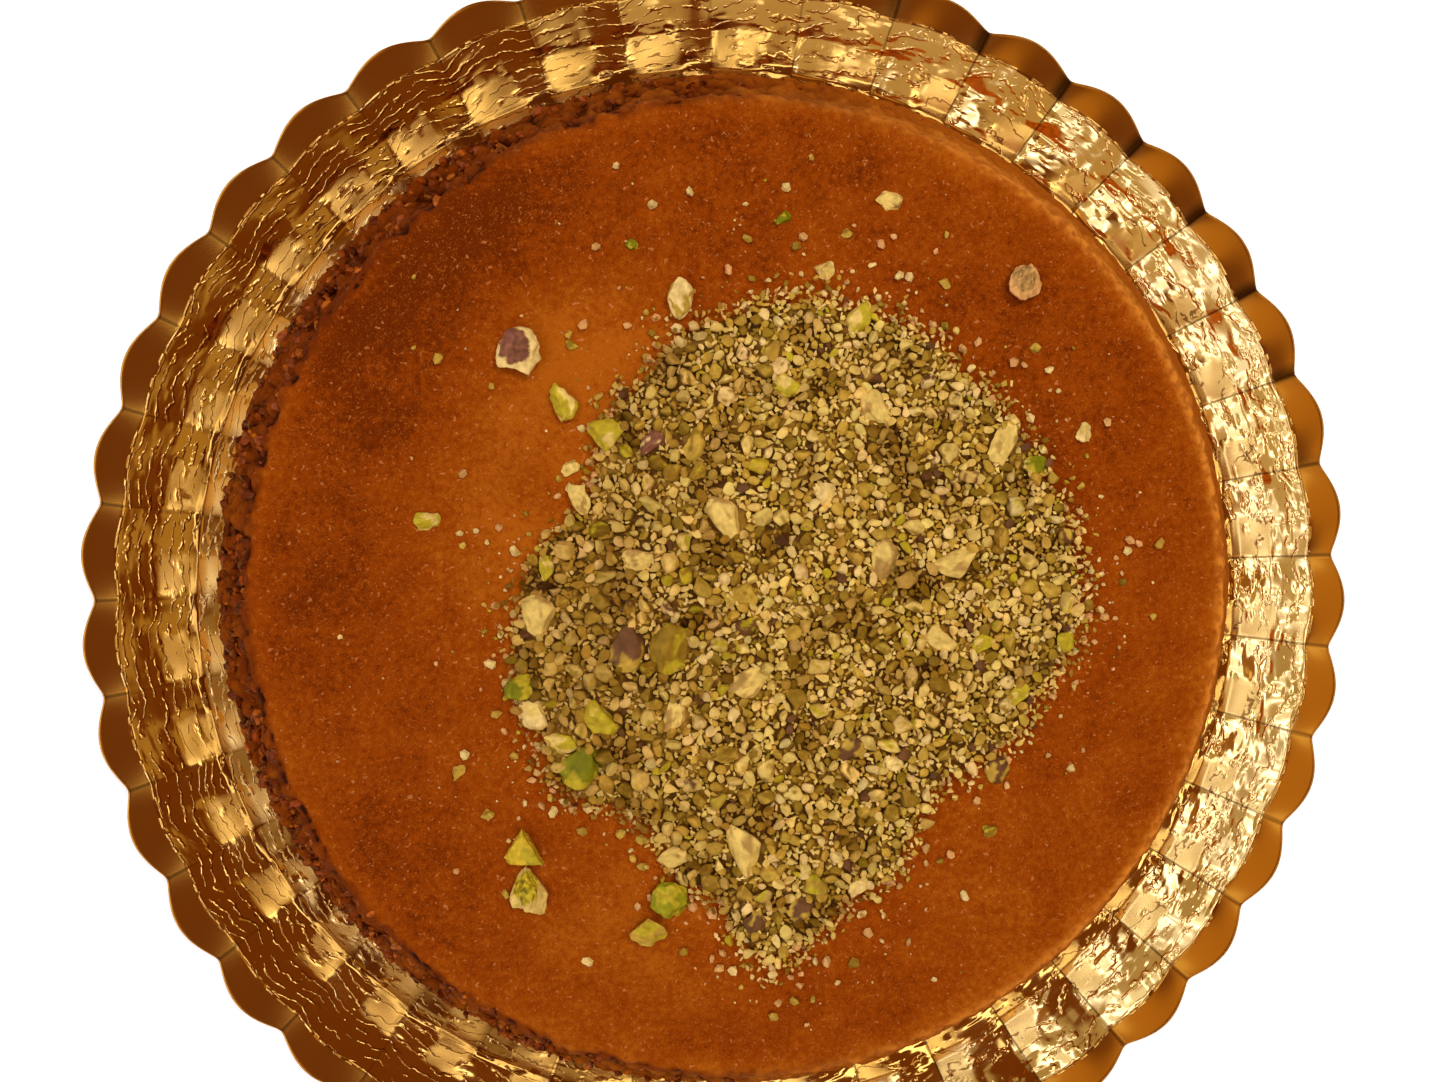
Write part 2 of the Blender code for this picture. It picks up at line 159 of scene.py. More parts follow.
def linear(colour):
    """An sRGB colour from 0 to 255 as linear red, green and blue."""
    share = np.array(colour) / 255.0
    return np.where(share <= 0.04045, share / 12.92, ((share + 0.055) / 1.055) ** 2.4)


# ---------------------------------------------------------------- noise

def hashed(cells, seed, count):
    """`count` repeatable random numbers from -1 to 1 for each lattice cell."""
    code = np.full(cells.shape[:-1], seed * 747796405 % 2**32, np.uint32)
    for axis, factor in enumerate((73856093, 19349663, 83492791)):
        code ^= cells[..., axis].astype(np.int64).astype(np.uint32) * np.uint32(factor)
    values = []
    for _ in range(count):
        code ^= code >> np.uint32(16)
        code *= np.uint32(0x7FEB352D)
        code ^= code >> np.uint32(15)
        code *= np.uint32(0x846CA68B)
        code ^= code >> np.uint32(16)
        values.append(code / 2.0**31 - 1.0)
    return np.stack(values, axis=-1)


def noise(points, cell, seed=0):
    """Smooth noise, about -1 to 1, whose lumps are about `cell` wide."""
    spots = np.asarray(points) / cell
    base = np.floor(spots)
    part = spots - base
    ease = part**3 * (part * (part * 6.0 - 15.0) + 10.0)
    total = np.zeros(len(spots))
    for corner in itertools.product((0, 1), repeat=3):
        offset = np.array(corner)
        slope = hashed(base + offset, seed, 3)
        weight = np.where(offset == 1, ease, 1.0 - ease).prod(axis=1)
        total += weight * ((part - offset) * slope).sum(axis=1)
    return 1.5 * total


def scattered_cells(points, cell, seed=0):
    """Distance to the nearest of scattered cell centres, its own number, and the way to it."""
    spots = np.asarray(points) / cell
    base = np.floor(spots)
    nearest = np.full(len(spots), 9.0)
    number = np.zeros(len(spots))
    offset = np.zeros(spots.shape)
    for corner in itertools.product((-1, 0, 1), repeat=3):
        draw = hashed(base + corner, seed, 4)
        way = base + corner + 0.5 + 0.45 * draw[:, :3] - spots
        away = np.linalg.norm(way, axis=1)
        closer = away < nearest
        number = np.where(closer, draw[:, 3], number)
        offset = np.where(closer[:, None], way, offset)
        nearest = np.minimum(nearest, away)
    return nearest, number, offset


def smoothstep(low, high, value):
    share = np.clip((value - low) / (high - low), 0.0, 1.0)
    return share * share * (3.0 - 2.0 * share)


def fade(low, high, value):
    """1 below the range, easing to 0 above it."""
    return 1.0 - smoothstep(low, high, value)


def round_axis(radius, angles, height):
    """Points at these distances from the Z axis, angles round it and heights."""
    parts = radius * np.cos(angles), radius * np.sin(angles), height
    return np.stack(np.broadcast_arrays(*parts), axis=-1)


def unit_box(points):
    """The points, moved and stretched to fill a box one unit wide round the origin."""
    points = points - (points.max(axis=0) + points.min(axis=0)) / 2.0
    return points / (points.max(axis=0) - points.min(axis=0))


# ---------------------------------------------------------------- meshes

def make_mesh(name, points, faces, materials, smooth=True):
    mesh = bpy.data.meshes.new(name)
    mesh.from_pydata(np.asarray(points).tolist(), [], faces)
    mesh.validate()
    if smooth:
        mesh.shade_smooth()
    for material in materials:
        mesh.materials.append(material)
    thing = bpy.data.objects.new(name, mesh)
    bpy.context.scene.collection.objects.link(thing)
    return thing


def place_piece(thing, slot, *nodes):
    """The piece rides on the only body and stands for those nodes. Its slot argument is not used."""
    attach(thing, "root")
    if nodes:
        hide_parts(*nodes)
    return thing


def paint(thing, name, colours):
    """Stores a colour for each point."""
    layer = thing.data.color_attributes.new(name, "FLOAT_COLOR", "POINT")
    full = np.column_stack([colours, np.ones(len(colours))]).astype(np.float32)
    layer.data.foreach_set("color", full.ravel())


def store(thing, name, values, kind="FLOAT"):
    """Stores a number, or a vector, for each point, and 0 for points past the last value."""
    size, field = (1, "value") if kind == "FLOAT" else (3, "vector")
    full = np.zeros(size * len(thing.data.vertices), np.float32)
    full[:values.size] = values.ravel()
    thing.data.attributes.new(name, kind, "POINT").data.foreach_set(field, full)


def ring_faces(rows, columns):
    """Quads of a closed band of rings, numbered ring by ring."""
    here = np.arange(rows * columns).reshape(rows, columns)
    there = np.roll(here, -1, axis=1)
    return np.stack([here[:-1], there[:-1], there[1:], here[1:]], axis=-1).reshape(-1, 4).tolist()


def disc_grid(steps):
    """A square grid pressed into a unit disc: its points, its quads and its rim, anticlockwise."""
    line = np.linspace(-1.0, 1.0, steps + 1)
    x, y = np.meshgrid(line, line)
    disc = np.column_stack([
        (x * np.sqrt(1.0 - y * y / 2.0)).ravel(), (y * np.sqrt(1.0 - x * x / 2.0)).ravel()
    ])
    index = np.arange((steps + 1) ** 2).reshape(steps + 1, steps + 1)
    quads = np.stack([index[:-1, :-1], index[:-1, 1:], index[1:, 1:], index[1:, :-1]], axis=-1)
    rim = np.concatenate([index[0, :-1], index[:-1, -1], index[-1, :0:-1], index[:0:-1, 0]])
    return disc, quads.reshape(-1, 4).tolist(), rim


# ---------------------------------------------------------------- materials

class Nodes:
    """Short ways to wire the nodes of a material or a world."""

    def __init__(self, tree):
        self.tree = tree

    def node(self, kind, **settings):
        node = self.tree.nodes.new(kind)
        for key, value in settings.items():
            setattr(node, key, value)
        return node

    def wire(self, source, target):
        if isinstance(source, bpy.types.NodeSocket):
            self.tree.links.new(source, target)
        else:
            target.default_value = source

    def join(self, node, *values):
        """Wires the values to the node's first inputs and gives its first output."""
        for socket, value in zip(node.inputs, values):
            self.wire(value, socket)
        return node.outputs[0]

    def math(self, operation, *values):
        return self.join(self.node("ShaderNodeMath", operation=operation), *values, 0.0, 0.0)

    def times(self, first, second):
        return self.math("MULTIPLY", first, second)

    def apart(self, first, second):
        """How far apart two values are."""
        return self.math("ABSOLUTE", self.math("SUBTRACT", first, second))

    def along(self, vector, way):
        """How far a vector reaches along a fixed unit vector."""
        node = self.node("ShaderNodeVectorMath", operation="DOT_PRODUCT")
        self.join(node, vector, way)
        return node.outputs["Value"]

    def span(self, value, low, high, to_low=0.0, to_high=1.0):
        """The value, eased from one range to another."""
        node = self.node("ShaderNodeMapRange", interpolation_type="SMOOTHSTEP")
        return self.join(node, value, low, high, to_low, to_high)

    def mix(self, share, first, second, blend="MIX"):
        """A mix of two colours in linear red, green and blue."""
        node = self.node("ShaderNodeMix", data_type="RGBA", blend_type=blend)
        for index, value in ((0, share), (6, first), (7, second)):
            colour = isinstance(value, (tuple, np.ndarray))
            self.wire((*value, 1.0) if colour else value, node.inputs[index])
        return node.outputs[2]

    def tint(self, share, first, second):
        """A mix of two colours, each a node's own or sRGB from 0 to 255."""
        ends = (linear(value) if isinstance(value, tuple) else value for value in (first, second))
        return self.mix(share, *ends)


class Shader(Nodes):
    """A Principled material and short ways to wire nodes into it."""

    def __init__(self, name, **inputs):
        self.material = bpy.data.materials.new(name)
        self.material.use_nodes = True
        super().__init__(self.material.node_tree)
        self.main = self.tree.nodes["Principled BSDF"]
        for key, value in inputs.items():
            self.main.inputs[key.replace("_", " ").title().replace("Ior", "IOR")].default_value = value

    def attribute(self, name, output="Fac"):
        return self.node("ShaderNodeAttribute", attribute_name=name).outputs[output]

    def texture(self, kind, place, output, **inputs):
        node = self.node(kind)
        self.wire(place or self.node("ShaderNodeTexCoord").outputs["Object"], node.inputs["Vector"])
        for key, value in inputs.items():
            node.inputs[key].default_value = value
        return node.outputs[output]

    def noise(self, scale, detail=2.0, place=None, distortion=0.0):
        inputs = {"Scale": scale, "Detail": detail, "Distortion": distortion}
        return self.texture("ShaderNodeTexNoise", place, "Fac", **inputs)

    def cells(self, scale, place=None):
        return self.texture("ShaderNodeTexVoronoi", place, "Distance", Scale=scale)

    def colour(self, value):
        self.wire(value, self.main.inputs["Base Color"])

    def bump(self, height, distance, strength=1.0):
        node = self.node("ShaderNodeBump")
        node.inputs["Strength"].default_value = strength
        node.inputs["Distance"].default_value = distance
        self.wire(height, node.inputs["Height"])
        if self.main.inputs["Normal"].is_linked:
            self.wire(self.main.inputs["Normal"].links[0].from_socket, node.inputs["Normal"])
        self.wire(node.outputs[0], self.main.inputs["Normal"])


def foil_material():
    """Gold foil: wavy lines and pits pressed into its wall, calm parts, and folds darkened with
    painted shade.
    """
    foil = Shader("foil_gold", metallic=1.0, roughness=0.16)
    stretch = foil.node("ShaderNodeVectorMath", operation="MULTIPLY")
    place = foil.join(stretch, foil.attribute("foil_space", "Vector"), (1.0, 1.0, 1.7))
    emboss = foil.attribute("emboss")
    calm = foil.attribute("calm")
    dull = foil.noise(60.0, 3.0, place)
    bright = foil.span(dull, 0.3, 0.7, 0.06, 0.13)
    roughness = foil.math("MAXIMUM", foil.span(emboss, 0.0, 1.0, 0.16, bright), foil.times(calm, 0.23))
    foil.wire(roughness, foil.main.inputs["Roughness"])

    # the lines wander and break off, and hardly show in the calm parts
    turns = foil.attribute("line_turns")
    for scale, sway in ((0.2, 2.2), (0.8, 0.9)):
        turns = foil.math("ADD", turns, foil.times(foil.noise(scale / LINE_SPACING, 1.0, place), sway))
    off = foil.apart(foil.math("FRACT", turns), 0.5)
    broken = foil.span(foil.noise(0.45 / LINE_SPACING, 1.0, place), 0.42, 0.46)
    line = foil.times(foil.span(off, 0.0, 0.16, 1.0, 0.0), broken)
    line = foil.times(line, foil.span(calm, 0.0, 1.0, 1.0, 0.05))
    foil.bump(foil.times(line, emboss), 0.065 * MM)
    pits = foil.span(foil.cells(330.0, place), 0.08, 0.2)
    foil.bump(foil.times(pits, foil.math("SUBTRACT", emboss, calm)), 0.03 * MM)

    # dashes along the top of the wall, where the lines end
    border = foil.apart(emboss, 0.5)
    dashes = foil.span(foil.noise(420.0, 1.0, place), 0.47, 0.53)
    foil.bump(foil.times(foil.span(border, 0.0, 0.4, 1.0, 0.0), dashes), 0.12 * MM)
    gaps = foil.times(foil.span(border, 0.2, 0.45, 0.85, 0.0), foil.math("SUBTRACT", 1.0, dashes))

    gold = foil.tint(foil.span(dull, 0.3, 0.7), (244, 196, 106), (252, 208, 124))
    gold = foil.tint(gaps, gold, (150, 84, 26))
    # the calm parts are yellower, with a few thin dark curls
    gold = foil.tint(foil.times(calm, 0.5), gold, (250, 200, 100))
    curl = foil.times(foil.span(off, 0.03, 0.07, 0.8, 0.0), broken)
    gold = foil.tint(foil.times(curl, calm), gold, (120, 66, 18))
    # painted shade at the foot of the wall and on parts of the floor, on the left
    gold = foil.tint(foil.attribute("painted_foot_shade"), gold, (126, 66, 14))
    gold = foil.tint(emboss, (232, 180, 84), gold)
    # painted dark reflection at the end of each lip at the top right
    gold = foil.tint(foil.attribute("painted_lip_shade"), gold, (58, 26, 6))
    # the folds between the scallops are darkened with painted shade
    crease = foil.attribute("crease")
    foil.bump(foil.span(crease, 0.0, 0.75 * MM), 0.02 * MM)
    width = foil.span(emboss, 0.0, 1.0, 0.6 * MM, 0.35 * MM)
    fold = foil.span(crease, 0.15 * MM, width, foil.attribute("painted_fold_shade"), 0.0)
    foil.colour(foil.tint(fold, gold, (70, 34, 8)))
    return foil.material


def card_material():
    """Pale card, which shows at the cut edge and underneath."""
    card = Shader("foil_card", roughness=0.75)
    fibres = card.noise(1500.0, 4.0)
    card.colour(card.tint(card.span(fibres, 0.3, 0.7), (128, 120, 108), (160, 152, 138)))
    card.bump(fibres, 0.05 * MM, 0.5)
    return card.material


def crust_material():
    """Browned semolina crust: broad `tone`, fine mottling, pale flecks that are partly painted glints,
    painted light along the smooth side's edge, and burnt parts with painted shade in their hollows.
    """
    sheen = {"specular_ior_level": 0.05, "specular_tint": (1.0, 0.42, 0.07, 1.0)}
    crust = Shader("kunafa_crust", roughness=0.55, **sheen)
    level = crust.attribute("tone")
    for scale, detail, weight in ((130.0, 4.0, 0.7), (700.0, 3.0, 0.8), (2200.0, 2.0, 0.5)):
        sway = crust.math("SUBTRACT", crust.noise(scale, detail), 0.5)
        level = crust.math("ADD", level, crust.times(sway, weight))
    full = crust.tint(crust.span(level, 0.0, 0.5), (106, 38, 2), (148, 62, 4))
    full = crust.tint(crust.span(level, 0.4, 1.0), full, (180, 94, 15))
    for scale, amount in ((800.0, 0.42), (1700.0, 0.45)):
        fibre = crust.span(crust.noise(scale, 2.0, distortion=2.5), 0.60, 0.70)
        full = crust.tint(crust.times(fibre, amount), full, (200, 116, 40))
    # pale semolina flecks, partly painted glints
    fleck_and_glint = crust.span(crust.noise(950.0, 1.0, distortion=0.6), 0.69, 0.73, 0.0, 0.5)
    full = crust.tint(fleck_and_glint, full, (216, 138, 74))
    # painted light along the smooth side's edge, unevenly
    uneven = crust.span(crust.noise(500.0, 3.0), 0.35, 0.6, 0.3, 1.0)
    full = crust.tint(crust.times(crust.attribute("painted_rim_light"), uneven), full, (228, 140, 44))
    # the burnt parts are darker still in their hollows, which is painted shade
    burnt_and_shade = crust.attribute("burnt_and_shade")
    char_and_shade = crust.tint(crust.span(burnt_and_shade, 0.85, 1.2), (106, 41, 5), (44, 14, 3))
    crust.colour(crust.tint(burnt_and_shade, full, char_and_shade))
    crust.wire(crust.span(burnt_and_shade, 0.0, 1.0, 0.55, 0.36), crust.main.inputs["Roughness"])
    crust.bump(crust.noise(1300.0, 3.0), 0.12 * MM, 0.7)
    crust.bump(crust.cells(900.0), 0.10 * MM, 0.5)
    return crust.material


def crumb_material():
    """Dark, syrupy crumbs at the kunafa's rough side."""
    sheen = {"specular_ior_level": 0.45, "specular_tint": (1.0, 0.52, 0.22, 1.0)}
    crumb = Shader("side_crumbs", roughness=0.3, **sheen)
    cloud = crumb.noise(900.0, 3.0)
    shade = crumb.mix(crumb.span(cloud, 0.3, 0.7), (0.55, 0.5, 0.45), (1.25, 1.2, 1.1))
    crumb.colour(crumb.mix(1.0, crumb.attribute("tint", "Color"), shade, "MULTIPLY"))
    crumb.bump(crumb.noise(1500.0, 3.0), 0.12 * MM, 0.8)
    return crumb.material


def nut_material(name="pistachio_chopped"):
    """Chopped nut: each piece's own tint, cloudy inside, with a dry crumbly surface."""
    nut = Shader(name, roughness=0.5, specular_ior_level=0.3, specular_tint=(1.0, 0.8, 0.4, 1.0))
    tint = nut.attribute("tint", "Color")
    cloud = nut.noise(420.0, 5.0, distortion=0.6)
    shade = nut.mix(nut.span(cloud, 0.3, 0.7), (0.81, 0.75, 0.58), (1.12, 1.07, 0.90))
    nut.colour(nut.mix(1.0, tint, shade, "MULTIPLY"))
    nut.bump(nut.noise(900.0, 4.0), 0.22 * MM, 0.6)
    return nut.material


# ---------------------------------------------------------------- plate

def scallop(angles):
    """0 at a crease, 1 in the middle of a scallop, with the crease a little rounded."""
    wave = np.sin(math.pi * (((angles - FIRST_CREASE) * SCALLOPS / TURN) % 1.0))
    rounded = np.sqrt(wave**2 + CREASE_ROUNDING**2) - CREASE_ROUNDING
    return rounded / (math.hypot(1.0, CREASE_ROUNDING) - CREASE_ROUNDING)


def rounded(rows, spacing, corner):
    """Evenly spaced rows along straight stretches, with each bend rounded over `corner`.

    Also gives how far along each of these rows and each of the given ones is.
    """
    steps = np.linalg.norm(np.diff(rows[:, :2], axis=0), axis=1)
    lengths = np.concatenate([[0.0], np.cumsum(steps)])
    along = np.linspace(0.0, lengths[-1], round(lengths[-1] / spacing) + 1)
    offsets = np.linspace(-corner / 2.0, corner / 2.0, 9)
    spots = along[:, None] + offsets
    inner = np.stack([np.interp(spots, lengths, column) for column in rows.T], axis=-1)
    # past either end the line goes straight on, so the ends stay where they are
    before, after = np.minimum(spots, 0.0), np.maximum(spots - lengths[-1], 0.0)
    inner += before[..., None] * (rows[1] - rows[0]) / lengths[1]
    inner += after[..., None] * (rows[-1] - rows[-2]) / (lengths[-1] - lengths[-2])
    return inner.mean(axis=1), along, lengths


def plate_sheet():
    """The foil face as rings of points, how far up the profile its rings and bends are, angles."""
    crease_height = PLATE_HEIGHT - SCALLOP_RISE
    wall = LIP_RADIUS - FLOOR_RADIUS
    tip = PLATE_RADIUS - CREASE_RADIUS
    # radius and height at the creases, then what a scallop adds to each in its middle
    profile = np.array([
        (FLOOR_RADIUS - 8.0 * MM, CARD, 0.0, 0.0),
        (FLOOR_RADIUS - 0.5 * MM, CARD, 0.0, 0.0),
        (FLOOR_RADIUS + 0.08 * wall, CARD + 0.45 * MM, -0.1 * MM, 0.25 * SCALLOP_RISE),
        (FLOOR_RADIUS + 0.52 * wall, 4.6 * MM, -0.3 * MM, 0.75 * SCALLOP_RISE),
        (LIP_RADIUS, 9.6 * MM, 0.15 * tip, 0.8 * SCALLOP_RISE),
        (CREASE_RADIUS, crease_height, tip, SCALLOP_RISE),
    ])
    rows, along, bends = rounded(profile, 0.3 * MM, 0.5 * MM)
    rows, along = rows[:-1], along[:-1]
    columns = SCALLOPS * STEPS_PER_SCALLOP
    angles = FIRST_CREASE + TURN * np.arange(columns) / columns
    share = scallop(angles)
    radius = rows[:, 0, None] + rows[:, 2, None] * share
    height = rows[:, 1, None] + rows[:, 3, None] * share
    # the outer edge is turned over in a small arc
    slope = np.arctan2(height[-1] - height[-2], radius[-1] - radius[-2])
    turns = np.linspace(0.0, 1.0, EDGE_STEPS + 1)[1:, None] * (math.pi / 2.0 + slope) - slope
    radius = np.concatenate([radius, radius[-1] + EDGE_RADIUS * (np.sin(turns) + np.sin(slope))])
    height = np.concatenate([height, height[-1] + EDGE_RADIUS * (np.cos(turns) - np.cos(slope))])
    along = np.concatenate([along, along[-1] + EDGE_RADIUS * np.arange(1, EDGE_STEPS + 1) * 0.35])
    return round_axis(radius, angles, height), along, bends, angles


def foil_pattern(space, along, bends, angles):
    """Where the foil is embossed, lined, flattened and calm, as shares from 0 to 1."""
    flat = space.reshape(-1, 3)
    shape = space.shape[:2]
    emboss = fade(bends[4] - 0.4 * MM, bends[4] + 0.6 * MM, along)[:, None]
    left = smoothstep(-0.4, 0.4, np.cos(angles - LINED_SIDE))
    # each scallop has a petal, with an uneven edge, that is flatter than the rest of the wall
    phase = ((angles - FIRST_CREASE) * SCALLOPS / TURN) % 1.0
    sway = noise(flat, 12.0 * MM, 6) + 0.5 * noise(flat, 3.5 * MM, 8)
    start = 0.40 + 0.18 * sway.reshape(shape)
    petal = smoothstep(start, start + 0.05, phase) * fade(0.95, 1.0, phase)
    # the petals are calm on the left, and what lies between them on the right
    up = (along - (bends[2] + bends[3]) / 2.0)[:, None]
    ragged = 1.6 * MM * noise(flat, 4.0 * MM, 7).reshape(shape)
    lower = fade(0.0, 0.8 * MM, up - PETAL_HALF + ragged)
    holes = smoothstep(-0.5, -0.3, noise(flat * (1.0, 1.0, 1.6), 3.5 * MM, 9)).reshape(shape)
    calm = lower * holes * (petal * left + (1.0 - petal) * (1.0 - left))
    return SimpleNamespace(
        emboss=emboss, left=left, phase=phase, start=start, petal=petal, up=up, calm=calm)


def foil_relief(pattern, flat, along, foot, angles):
    """How far each point of the foil stands proud of its smooth sheet."""
    shape = pattern.calm.shape
    # small facets, which lean more on the right, where the foil is crumpled
    _, number, offset = scattered_cells(flat * (1.0, 1.0, 1.3), FACET_SIZE, 5)
    tangent = np.tile(np.column_stack([-np.sin(angles), np.cos(angles)]), (shape[0], 1))
    heading = 40.0 * number
    slant = (offset[:, :2] * tangent).sum(axis=1) * np.cos(heading) + offset[:, 2] * np.sin(heading)
    slope = FACET_SLOPE + (BOLD_FACET_SLOPE - FACET_SLOPE) * (1.0 - pattern.left)
    facets = slope * (1.0 - pattern.calm) * FACET_SIZE * slant.reshape(shape)
    dents = 0.06 * MM * noise(flat * (1.0, 1.0, 1.5), 6.0 * MM, 3).reshape(shape)
    relief = (dents + facets) * pattern.emboss
    # the flutes die away over the floor, which is flat under the kunafa
    floor_share = smoothstep(foot - 6.0 * MM, foot, along) * fade(foot, foot + 7.0 * MM, along)
    flutes = (1.0 - 0.7 * pattern.left) * (scallop(angles) - 0.4)
    relief += FLOOR_FLUTE * flutes * floor_share[:, None]
    reach = PETAL_HALF + np.where(pattern.up > 0.0, 6.0, 4.0) * MM
    inner = fade(PETAL_HALF, reach, np.abs(pattern.up))
    lean = PETAL_LEAN * np.clip(pattern.up, -PETAL_HALF, PETAL_HALF)
    return relief - lean * inner * pattern.petal


def foil_painted_shades(pattern, along, foot, angles):
    """How much painted shade darkens the foil's folds, the foot of its wall and its lips, by attribute
    name.
    """
    crumpled = 1.0 - pattern.left
    # painted shade in the folds: half strength on the lips, and on the wall more where it is crumpled
    fold = (1.0 - pattern.emboss) * 0.5 + pattern.emboss * (0.2 + 0.45 * crumpled)
    # on the left the bend at the foot of the wall is darkened with painted shade, and so are parts of
    # the floor
    bend = np.exp(-(((along - foot - 0.5 * MM) / (1.2 * MM)) ** 2))[:, None]
    start, phase = pattern.start, pattern.phase
    light = smoothstep(start - 0.15, start + 0.25, phase) * fade(0.8, 1.0, phase)
    floor_part = fade(foot, foot + 2.0 * MM, along)[:, None] * (1.0 - light)
    dark = 0.6 * np.maximum(bend * (1.0 - 0.75 * pattern.calm), floor_part)
    # the lips at the top right have a dark end, a painted dark reflection
    step = np.arange(len(angles)) % STEPS_PER_SCALLOP
    lip = 0.8 * fade(1.0, 3.0, step) * smoothstep(0.80, 0.95, np.cos(angles - 0.8))
    return {
        "painted_fold_shade": fold,
        "painted_foot_shade": pattern.left * dark,
        "painted_lip_shade": (1.0 - pattern.emboss) * lip,
    }


def build_plate():
    sheet, along, bends, angles = plate_sheet()
    foot = bends[1]
    rings, columns = sheet.shape[:2]
    around = np.roll(sheet, -1, axis=1) - np.roll(sheet, 1, axis=1)
    normal = np.cross(np.gradient(sheet, axis=0), around)
    normal /= np.linalg.norm(normal, axis=-1, keepdims=True)
    normal *= np.sign(normal[..., 2:3])

    # where each point lies on the foil laid out flat: two numbers round the plate, one across
    space = round_axis(MEAN_RADIUS, angles, along[:, None] - LINE_BOW * scallop(angles))
    pattern = foil_pattern(space, along, bends, angles)
    relief = foil_relief(pattern, space.reshape(-1, 3), along, foot, angles)
    upper = sheet + normal * relief[..., None]

    # the underside follows one card's thickness below, on fewer rings
    under = (sheet - CARD * normal)[::-UNDER_STEP]
    under[..., 2] = np.maximum(under[..., 2], 0.0)
    points = np.concatenate([upper, under])
    faces = [face[::-1] for face in ring_faces(len(points), columns)]
    faces.append(list(range(columns)))
    faces.append(list(range((len(points) - 1) * columns, len(points) * columns))[::-1])
    materials = [foil_material(), card_material()]
    plate = make_mesh("foil_plate_fine", points.reshape(-1, 3), faces, materials)
    plate.data.set_sharp_from_angle(angle=math.radians(50.0))
    below = np.zeros(len(faces), np.int32)
    below[(rings - 1) * columns:] = 1
    below[-2] = 0
    plate.data.polygons.foreach_set("material_index", below)

    turns = (0.3 + 0.7 * pattern.left) * space[..., 2] / LINE_SPACING
    marks = {"emboss": pattern.emboss, "calm": pattern.calm, "line_turns": turns}
    marks.update(foil_painted_shades(pattern, along, foot, angles))
    for name, values in marks.items():
        store(plate, name, np.broadcast_to(values, (rings, columns)))
    store(plate, "foil_space", space, "FLOAT_VECTOR")
    step = np.arange(columns) % STEPS_PER_SCALLOP
    crease = np.minimum(step, STEPS_PER_SCALLOP - step) * TURN * MEAN_RADIUS / columns
    store(plate, "crease", np.tile(crease, len(points)))
    place_piece(plate, "foil_gold", "foil_plate")


# ---------------------------------------------------------------- kunafa

def rough_share(angles):
    """1 in the middle of the rough side, falling to 0 well round the kunafa."""
    away = np.abs((angles - ROUGH_SIDE + math.pi) % TURN - math.pi)
    return np.cos(np.minimum(away * ROUGH_SPREAD, math.pi / 2))


def edge_offset(angles):
    """How far the top's edge lies outside a true circle: inwards, and ragged, at the rough side."""
    share = rough_share(angles)
    ring = round_axis(SHOULDER_RADIUS, angles, 0.0)
    ragged = 0.9 * noise(ring, 9.0 * MM, 17) + 0.55 * noise(ring, 3.6 * MM, 18)
    fine = 0.3 * MM * noise(ring, 2.4 * MM, 19)
    return share * (MM * ragged - ROUGH_INSET) + (1.0 - share) * fine


def kunafa_side():
    """Radius, height and relief share of each ring, from the shoulder's inner edge down."""
    turns = np.radians(np.linspace(90.0, 0.0, 11))[1:]
    out, rise = (np.abs(wave) ** SHOULDER_FULLNESS for wave in (np.cos(turns), np.sin(turns)))
    start = KUNAFA_TOP - SHOULDER_DROP
    shoulder = np.column_stack([
        SHOULDER_RADIUS - SHOULDER_INSET * (1.0 - out), start + SHOULDER_DROP * rise,
        0.5 * np.cos(turns) ** 2,
    ])
    share = np.arange(1, SIDE_STEPS + 1) / SIDE_STEPS
    slope = np.column_stack([
        SHOULDER_RADIUS + (BASE_RADIUS - SHOULDER_RADIUS) * share,
        start + (KUNAFA_BOTTOM - start) * share, 0.5 + 1.4 * share - 1.55 * share**2,
    ])
    return np.concatenate([shoulder, slope])


def crust_tone(points):
    """Broad lightness of the crust, from 0, dark, to 1, light."""
    tone = 0.46 + 0.08 * noise(points, 22.0 * MM, 21)
    for x, y, reach, amount in CRUST_PATCHES:
        away = np.hypot(points[:, 0] / MM - x, points[:, 1] / MM - y)
        tone += amount * np.exp(-((away / reach) ** 2))
    middle = points - KUNAFA_CENTRE
    return tone + 0.20 * smoothstep(98.0, 104.0, np.hypot(middle[:, 0], middle[:, 1]) / MM)


def crust_top():
    """The top as a grid with soft relief: its points, its quads and its rim."""
    disc, quads, rim = disc_grid(TOP_STEPS)
    edge = edge_offset(np.arctan2(disc[:, 1], disc[:, 0]))
    edge *= smoothstep(0.86, 1.0, np.hypot(disc[:, 0], disc[:, 1]))
    plan = disc * (SHOULDER_RADIUS - SHOULDER_INSET + edge)[:, None]
    top = np.column_stack([plan, np.full(len(disc), KUNAFA_TOP)]) + KUNAFA_CENTRE
    relief = 0.22 * noise(top, 34.0 * MM, 1) + 0.10 * noise(top, 6.0 * MM, 2)
    relief += 0.07 * noise(top, 2.2 * MM, 3)
    top[:, 2] += MM * (relief - 0.12)
    return top, quads, rim, np.arctan2(disc[rim, 1], disc[rim, 0])


